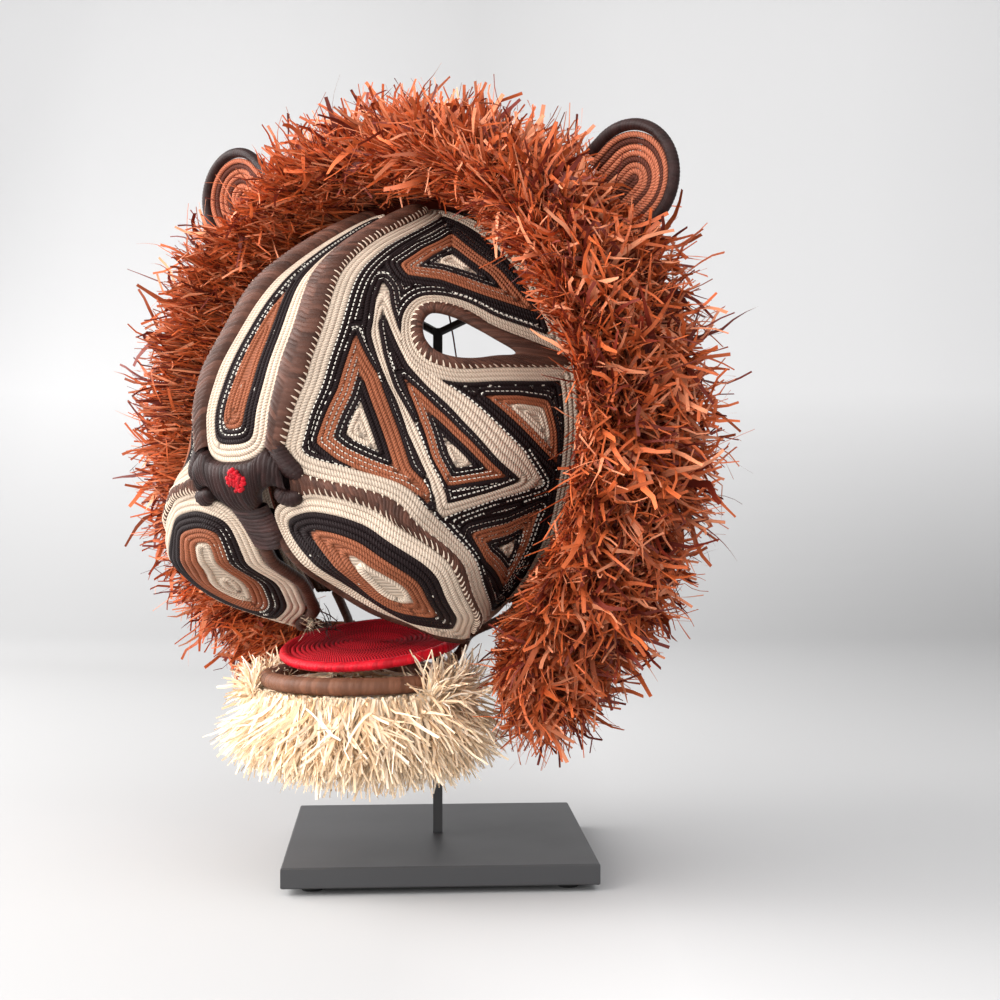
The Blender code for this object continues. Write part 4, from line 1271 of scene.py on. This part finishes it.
REACH_IN = (5.0, 26.0)  # how far in over the face a strip may reach: most of them, and a few
REACH_FEW = 0.06  # the share of those few
RIM_Z = (158, 401)
RIM_Y = -28
RIM_WIDENS = 0.75  # how fast the face counts as wider in front of the rim
CROWN_Z = 398  # a strip above this isn't over the face
BEYOND = -20.0  # a half width that nothing is inside of


def rim_x(z):
    """Half width of the rim that the mane hangs from; nothing above its top."""
    return np.where(z > CROWN_Z, BEYOND, pchip(ROWS[:, 0], ROWS[:, 8], np.clip(z, *RIM_Z)))


def over_face(points, spare):
    """Whether a strip reaches in over the face by more than the spare millimetres, or over an ear or the
    mouth. The few that may reach far in may cross an ear too."""
    x, y, z = np.moveaxis(points, -1, 0)
    rim = rim_x(z) + RIM_WIDENS * np.maximum(0, RIM_Y - y)
    hit = np.abs(x) < rim - spare - np.interp(z, *FACE_SPARE)
    nearer = (EAR_Y - EYE_POINT[1]) / (y - EYE_POINT[1])  # the strip as seen against the ears' plane
    seen_x = EYE_POINT[0] + (x - EYE_POINT[0]) * nearer
    seen_z = EYE_POINT[2] + (z - EYE_POINT[2]) * nearer
    for _, ear_x, ear_z, _ in EARS:
        aside = (seen_x - ear_x) * math.copysign(1, ear_x)
        near = (np.hypot(aside, seen_z - ear_z) < EAR_CLEAR) & (seen_z > ear_z - 3 - 0.8 * aside)
        hit |= near & (y < -12) & (spare < REACH_IN[1])
    low, high, side = MOUTH_CLEAR
    hit |= (z > low) & (z < high) & (x < 0) & (x > side - y)
    return hit.any(axis=1)


def mane_strips(
    batch, count, ways, rings, depths, lengths, widths, scatter, bend, wander, combed, sections
):
    way, ring, depth = (rng.uniform(*ends, count) for ends in (ways, rings, depths))
    root = mane_place(way, ring, depth)
    out = unit(mane_place(way, ring, 0.0) - mane_place(way, ring, 0.9))
    onward = unit(mane_place(way, ring + 0.35, depth) - root)
    lean = (combed * np.clip((3.4 - ring) / 1.6, 0, 1))[:, None]
    loose = rng.normal(0, 1, (count, 3)) * scatter * (1 - 0.55 * lean)
    head = out * (1 - lean) + onward * lean + out * lean * 0.28 + loose
    length = rng.uniform(*lengths, count) * np.where(way < -0.2, 0.9, 1.0)
    width = widths[0] + (widths[1] - widths[0]) * rng.random(count) ** 1.6
    tint = raffia_tints(count, MANE_COLOUR, 0.24, MANE_LIGHT, MANE_DARK)
    spare = np.where(rng.random(count) < REACH_FEW, REACH_IN[1], REACH_IN[0])[:, None]
    strips(
        batch, root, head, length, width, tint, bend, 6 * wander, 0, sections,
        wander=wander, keep=lambda points: ~over_face(points, spare),
    )


def build_mane(material):
    way, ring = np.meshgrid(np.linspace(-1, 1, 81), np.linspace(0, 8, 25), indexing="ij")
    end = np.abs(way)
    by_collar = 1 - np.clip(2 * np.minimum(ring, 8 - ring), 0.08, 1)
    hug = np.clip((0.9 - end) / 0.06, 0, 1) * by_collar
    inset = 0.42 * (1 - hug) + 0.3 * np.clip((end - 0.86) / 0.1, 0, 1)
    # painted shade: the mane's core is half the darkest raffia colour, for the deep shade inside the mane
    shaded_core_tint = np.array(MANE_DARK) * 0.5
    build_core("mane_core", mane_place(way, ring, inset), shaded_core_tint, material, "mane", "mane_raffia")
    for part, (count, *row) in enumerate(MANE_LAYERS):
        batch = Batch()
        mane_strips(batch, count, *(row[k : k + 2] for k in range(0, 10, 2)), *row[10:])
        batch.build(f"mane_strips_{part + 1}", material, slot="mane_raffia")
    batch = Batch()
    n = MANE_STRAYS
    way, ring = rng.uniform(-1, 1, n), rng.uniform(2.6, 6.8, n)
    out = unit(mane_place(way, ring, 0.0) - mane_place(way, ring, 0.9))
    head = out + rng.normal(0, 0.45, (n, 3))
    tint = raffia_tints(n, MANE_COLOUR, 0.2, MANE_LIGHT, MANE_DARK)
    length, width = rng.uniform(30, 46, n), rng.uniform(0.5, 1.3, n)
    strips(batch, mane_place(way, ring, 0.2), head, length, width, tint, 1.2, curl=1.0, sections=7)
    top, low = np.array(LOOSE_STRAND, float)
    length = np.linalg.norm(low - top, keepdims=True)
    strips(batch, top[None], (low - top)[None], length, np.array([1.8]), tint[:1], 0.1, curl=0.0)
    batch.build("mane_strays", material, slot="mane_raffia")


BEARD_COLOUR = (0.97, 0.77, 0.55)
BEARD_LIGHT = (0.99, 0.86, 0.70)
BEARD_DARK = (0.90, 0.67, 0.44)
BEARD_LAYERS = (
    # strips, length from, to, root z from, to, outward lean from, to
    (6500, 30, 50, 104, 114, -0.2, 0.5),
    (3500, 32, 49, 108, 115, 0.2, 0.85),
)
BEARD_SIDES = 1200  # strips that rise beside the lip ring
MOUTH_STRANDS = 900
PHOTO_RIGHT = np.array([0.777, 0.629, 0.0])  # the side of the beard that is to the right in the photograph
FRAYED = (
    # place, colour, strands
    ((-38, -72, 150), (0.62, 0.50, 0.36), 40),
    ((-30, -66, 148), (0.03, 0.015, 0.012), 30),
)
BEARD_PROFILE = (
    # radius, z
    (50, 114.4), (57, 114.4), (66, 106), (71, 93), (71, 79), (61, 75), (51, 80), (47.5, 96),
)
BEARD_MIDDLE = np.array([57.0, 99.0])  # of the profile
BEARD_CORE = 0.45  # size of the core, as a share of the profile


def outwards(q):
    """Level directions from the lip ring's axis."""
    return np.stack([np.cos(q), np.sin(q), 0 * q], -1)


def around_lip(r, q, z):
    """Points around the lip ring's axis."""
    return np.stack([r * np.cos(q), LIP_AT[1] + r * np.sin(q), z + 0 * q], -1)


def beard_tints(n):
    return raffia_tints(n, BEARD_COLOUR, 0.1, BEARD_LIGHT, BEARD_DARK)


def build_beard(material):
    r, z = (BEARD_MIDDLE + (np.array(BEARD_PROFILE, float) - BEARD_MIDDLE) * BEARD_CORE).T
    q = np.radians(np.linspace(-90 - BEARD_HALF + 2, -90 + BEARD_HALF - 2, 61))[:, None]
    # painted shade: the beard's core is its raffia colour times 0.7, for the shade inside the beard
    shaded_core_tint = np.array(BEARD_COLOUR) * 0.7
    build_core("beard_core", around_lip(r, q, z), shaded_core_tint, material, "beard", "beard_raffia")
    batch = Batch()
    for n, short, long, low, high, lean_from, lean_to in BEARD_LAYERS:
        q = np.radians(-90 + BEARD_HALF * rng.uniform(-1, 1, n))
        root = around_lip(rng.uniform(50, 59, n), q, rng.uniform(low, high, n))
        left = -np.minimum(outwards(q) @ PHOTO_RIGHT, 0)
        lean = (rng.uniform(lean_from, lean_to, n) * (1 - left))[:, None]
        head = outwards(q) * lean + [0, 0, -1.0] + rng.normal(0, 0.21, (n, 3))
        tint = beard_tints(n)
        width = 0.9 + 1.6 * rng.random(n) ** 1.5
        length = rng.uniform(short, long, n) * (1 - 0.15 * left)
        strips(batch, root, head, length, width, tint, 0.9, 0.5, 1.3, painted_root_shade=0.97, wander=0.11)
    n = BEARD_SIDES
    share = np.where(rng.random(n) < 0.6, -rng.uniform(0.28, 0.9, n), rng.uniform(0.66, 1.0, n))
    q = np.radians(-90 + BEARD_HALF * share)
    root = around_lip(rng.uniform(59, 62, n), q, rng.uniform(106, 114, n))
    rise = rng.uniform(0.1, 1.3, n)[:, None] * [0, 0, 1.0]
    head = outwards(q) * np.where(share < 0, 0.0, 0.2)[:, None] + rise + rng.normal(0, 0.3, (n, 3))
    tint = beard_tints(n)
    length = rng.uniform(16, 34, n) * np.where(share < 0, 0.7, 1.0)
    width = rng.uniform(0.8, 1.8, n)
    strips(batch, root, head, length, width, tint, 1.2, 0.5, 0.3, painted_root_shade=0.9, wander=0.1)
    batch.build("beard_strips", material, slot="beard_raffia")


def build_mouth_strands(material):
    """Pale ends of the beard that lie inside the lip ring, and the frayed ends beside the mouth."""
    batch = Batch()
    n = MOUTH_STRANDS
    q = rng.uniform(-math.pi, math.pi, n)
    root = around_lip(rng.uniform(40, 47, n), q, rng.uniform(113, 118, n))
    head = rng.normal(0, 0.45, (n, 3)) * [1, 1, 0.12] - outwards(q)
    tint = beard_tints(n)
    length, width = rng.uniform(12, 34, n), rng.uniform(1.0, 2.4, n)
    strips(batch, root, head, length, width, tint, 0.1, 0.1, sections=4, painted_root_shade=0.9)
    for place, colour, n in FRAYED:
        root = np.array(place) + rng.normal(0, 2.0, (n, 3))
        head = rng.normal(0, 1, (n, 3)) + [0.3, -0.4, 0.2]
        tint = np.array(colour) * rng.uniform(0.7, 1.2, (n, 1))
        length, width = rng.uniform(5, 13, n), rng.uniform(0.4, 0.8, n)
        strips(batch, root, head, length, width, tint, 0.8, 0.4, sections=4, painted_root_shade=1.0)
    batch.build("mouth_strands", material, slot="beard_raffia")


# Collar and jaw cords
COLLAR_FRONT = 1.2  # behind the rim
COLLAR_BACK = 28.0
COLLAR_THICK = 3.5
COLLAR_END = 164.0
COLLAR_ROWS = 17
JAW_CORD = (
    # x, y, z
    (77.0, -12.6, 164.0), (66.6, -16.4, 154.6), (50.3, -27.4, 145.2), (47.6, -33.6, 135),
    (44.2, -41.7, 126.4),
)
JAW_CORD_R = 2.8


def rim_line(spacing):
    """Points (x, rim's y, z) along the rim from its left end over the top to its right end."""
    z = np.r_[np.linspace(COLLAR_END, 396, 200), np.linspace(396.1, 401, 60)]
    half = np.stack([crown_x(z), pchip(ROWS[:, 0], ROWS[:, 9], z), z], 1)
    line = np.vstack([half, (half * [-1, 1, 1])[:-1][::-1]])
    return spaced(line, line * [1, 0, 1], spacing)


def build_collar(material):
    """Rows of brown coil side by side from the rim back."""
    line = rim_line(6.0)
    away = np.gradient(line[:, [0, 2]], axis=0)
    out = unit(np.stack([away[:, 1], 0 * away[:, 0], -away[:, 0]], 1))
    out *= np.sign((out * (line - [0, 0, 270])).sum(1))[:, None]
    path = line - out * (0.2 + COLLAR_THICK) / 2
    batch = Batch()
    for k in range(COLLAR_ROWS):
        share = (k + 0.5) / COLLAR_ROWS
        path[:, 1] = (line[:, 1] + COLLAR_FRONT) * (1 - share) + COLLAR_BACK * share
        coil(batch, path, out, np.array(COIL_BROWN) * rng.uniform(0.75, 1.2), 1.75, COLLAR_THICK / 2)
    batch.build("collar_coils", material, "collar", "brown_coil")


def build_jaw_cords(material):
    for sign, side in SIDES:
        path = smooth_curve(np.array(JAW_CORD) * [sign, 1, 1], count=24)
        batch = Batch()
        wrapped_tube(batch, path, (0.0, 1.0, 0.3), JAW_CORD_R, JAW_CORD_R, BROWN, 2.2, deep=0.08)
        batch.build("jaw_cord_leaf_" + side, material, "jaw_cord_" + side, "brown_wrap")


# Stand


def dress_cad(metal, rubber):
    """The stand is plain enough to show its solids."""
    stand, feet = ("base_plate", "stand_post"), ("foot_front", "foot_left", "foot_back", "foot_right")
    for names, material in ((stand, metal), (feet, rubber)):
        for name in names:
            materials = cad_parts[name].data.materials
            materials.clear()
            materials.append(material)


# Studio


STUDIO_LIGHTS = (
    # name, place, aim, power, size, colour
    ("key", (-0.75, -1.75, 1.25), (0, 0, 0.27), 58, 2.2, (1.0, 0.975, 0.95)),
    ("side", (-1.55, -0.75, 0.95), (0, 0, 0.27), 54, 1.7, (1.0, 0.985, 0.97)),
    ("fill", (0.25, -1.6, 0.30), (0, 0, 0.15), 13, 1.0, (1.0, 0.99, 0.98)),
    ("glow", (-1.3, 0.4, 0.8), (-1.9, 2.0, 0.9), 5, 0.8, (1.0, 1.0, 1.0)),
    ("top", (0.85, -0.45, 1.3), (0.45, 0.0, 0.0), 14, 1.4, (1.0, 1.0, 1.0)),
)
WORLD_LIGHT = 0.46
WORLD_COLOUR = (0.97, 0.98, 1.0, 1)
# Painted light and shade on the paper: the floor darker than the wall, the wall darker behind the mask, and
# the floor lighter just right of the stand, where it paints out part of the stand's shadow
PAPER_PAINTED_LIGHT = (
    # distance beside the mask, shade of the floor, shade of the wall; all are painted light and shade
    (-4.5, 0.47, 0.80), (-0.9, 0.47, 0.80), (0.0, 0.46, 0.66), (0.14, 0.56, 0.70), (0.35, 0.52, 0.76),
    (0.9, 0.44, 0.83), (4.5, 0.44, 0.83),
)
PAPER_FRONT = -2.6  # where the paper starts, on the camera's side
PAPER_TOP = 4.0
PAPER_WALL = 0.45  # height at which the wall's shade is reached
PAPER_BACK = 1.5  # where the paper starts to rise behind the mask
PAPER_BEND = 1.3  # radius of its bend


def build_paper():
    """A strip of paper under the mask that bends up into a wall behind it, coloured with painted light and
    shade that change across it and from the floor to the wall.
    """
    turn = math.radians(CAMERA_TURN)
    behind = np.array([-math.sin(turn), math.cos(turn)])
    beside = np.array([math.cos(turn), math.sin(turn)])
    bend = [(PAPER_BACK + PAPER_BEND * math.sin(q), PAPER_BEND * (1 - math.cos(q)))
            for q in np.linspace(0, math.pi / 2, 25)]
    line = [(PAPER_FRONT, 0.0), *bend, (PAPER_BACK + PAPER_BEND, PAPER_TOP)]
    points, shades = [], []
    for away, high in line:
        for wide, floor_shade, wall_shade in PAPER_PAINTED_LIGHT:
            points.append((*(behind * away + beside * wide), high))
            shades.append(floor_shade + (wall_shade - floor_shade) * min(1.0, high / PAPER_WALL))
    faces = patch_faces(1, len(line), len(PAPER_PAINTED_LIGHT))
    add_mesh("paper", points, faces, paper_material(), shade=shades)


def build_light(name, at, target, power, size, colour):
    light = bpy.data.lights.new(name, "AREA")
    light.energy = power
    light.size = size
    light.color = colour
    lamp = bpy.data.objects.new(name, light)
    bpy.context.scene.collection.objects.link(lamp)
    lamp.location = at
    x, y, z = np.array(target) - np.array(at)
    lamp.rotation_euler = (math.atan2(math.hypot(x, y), -z), 0, math.atan2(y, x) - math.pi / 2)


def build_camera():
    data = bpy.data.cameras.new("camera")
    data.lens = CAMERA_LENS
    data.sensor_width = 36
    data.shift_y = CAMERA_SHIFT_Y
    camera = bpy.data.objects.new("camera", data)
    camera.location = CAMERA_AT
    camera.rotation_euler = (math.radians(90), 0, math.radians(CAMERA_TURN))
    bpy.context.scene.collection.objects.link(camera)
    bpy.context.scene.camera = camera


def build_studio():
    build_paper()
    world = bpy.data.worlds.new("studio")
    world.use_nodes = True
    background = world.node_tree.nodes["Background"]
    background.inputs[0].default_value = WORLD_COLOUR
    background.inputs[1].default_value = WORLD_LIGHT
    bpy.context.scene.world = world
    for light in STUDIO_LIGHTS:
        build_light(*light)
    build_camera()
    bpy.context.scene.view_settings.view_transform = "Standard"


def main():
    coils = coil_material("coiled_fibre")
    leaf = wrap_material("leaf_wrap")
    raffia = strip_material("raffia", 0.5, 0.8)
    pale = strip_material("raffia_pale", 0.55, 0.4)
    build_nose_panel(coils)
    build_cheeks(coils)
    build_pads(coils)
    build_wraps(leaf)
    build_nose(leaf)
    build_red_knot(leaf)
    build_tongue(coil_material("coiled_tongue", contrast=0.8), leaf)
    build_lip_ring(leaf)
    build_ears(coils, leaf)
    build_mane(raffia)
    build_beard(pale)
    build_mouth_strands(pale)
    build_collar(coils)
    build_jaw_cords(leaf)
    dress_cad(metal_material(), rubber_material())
    build_studio()


main()
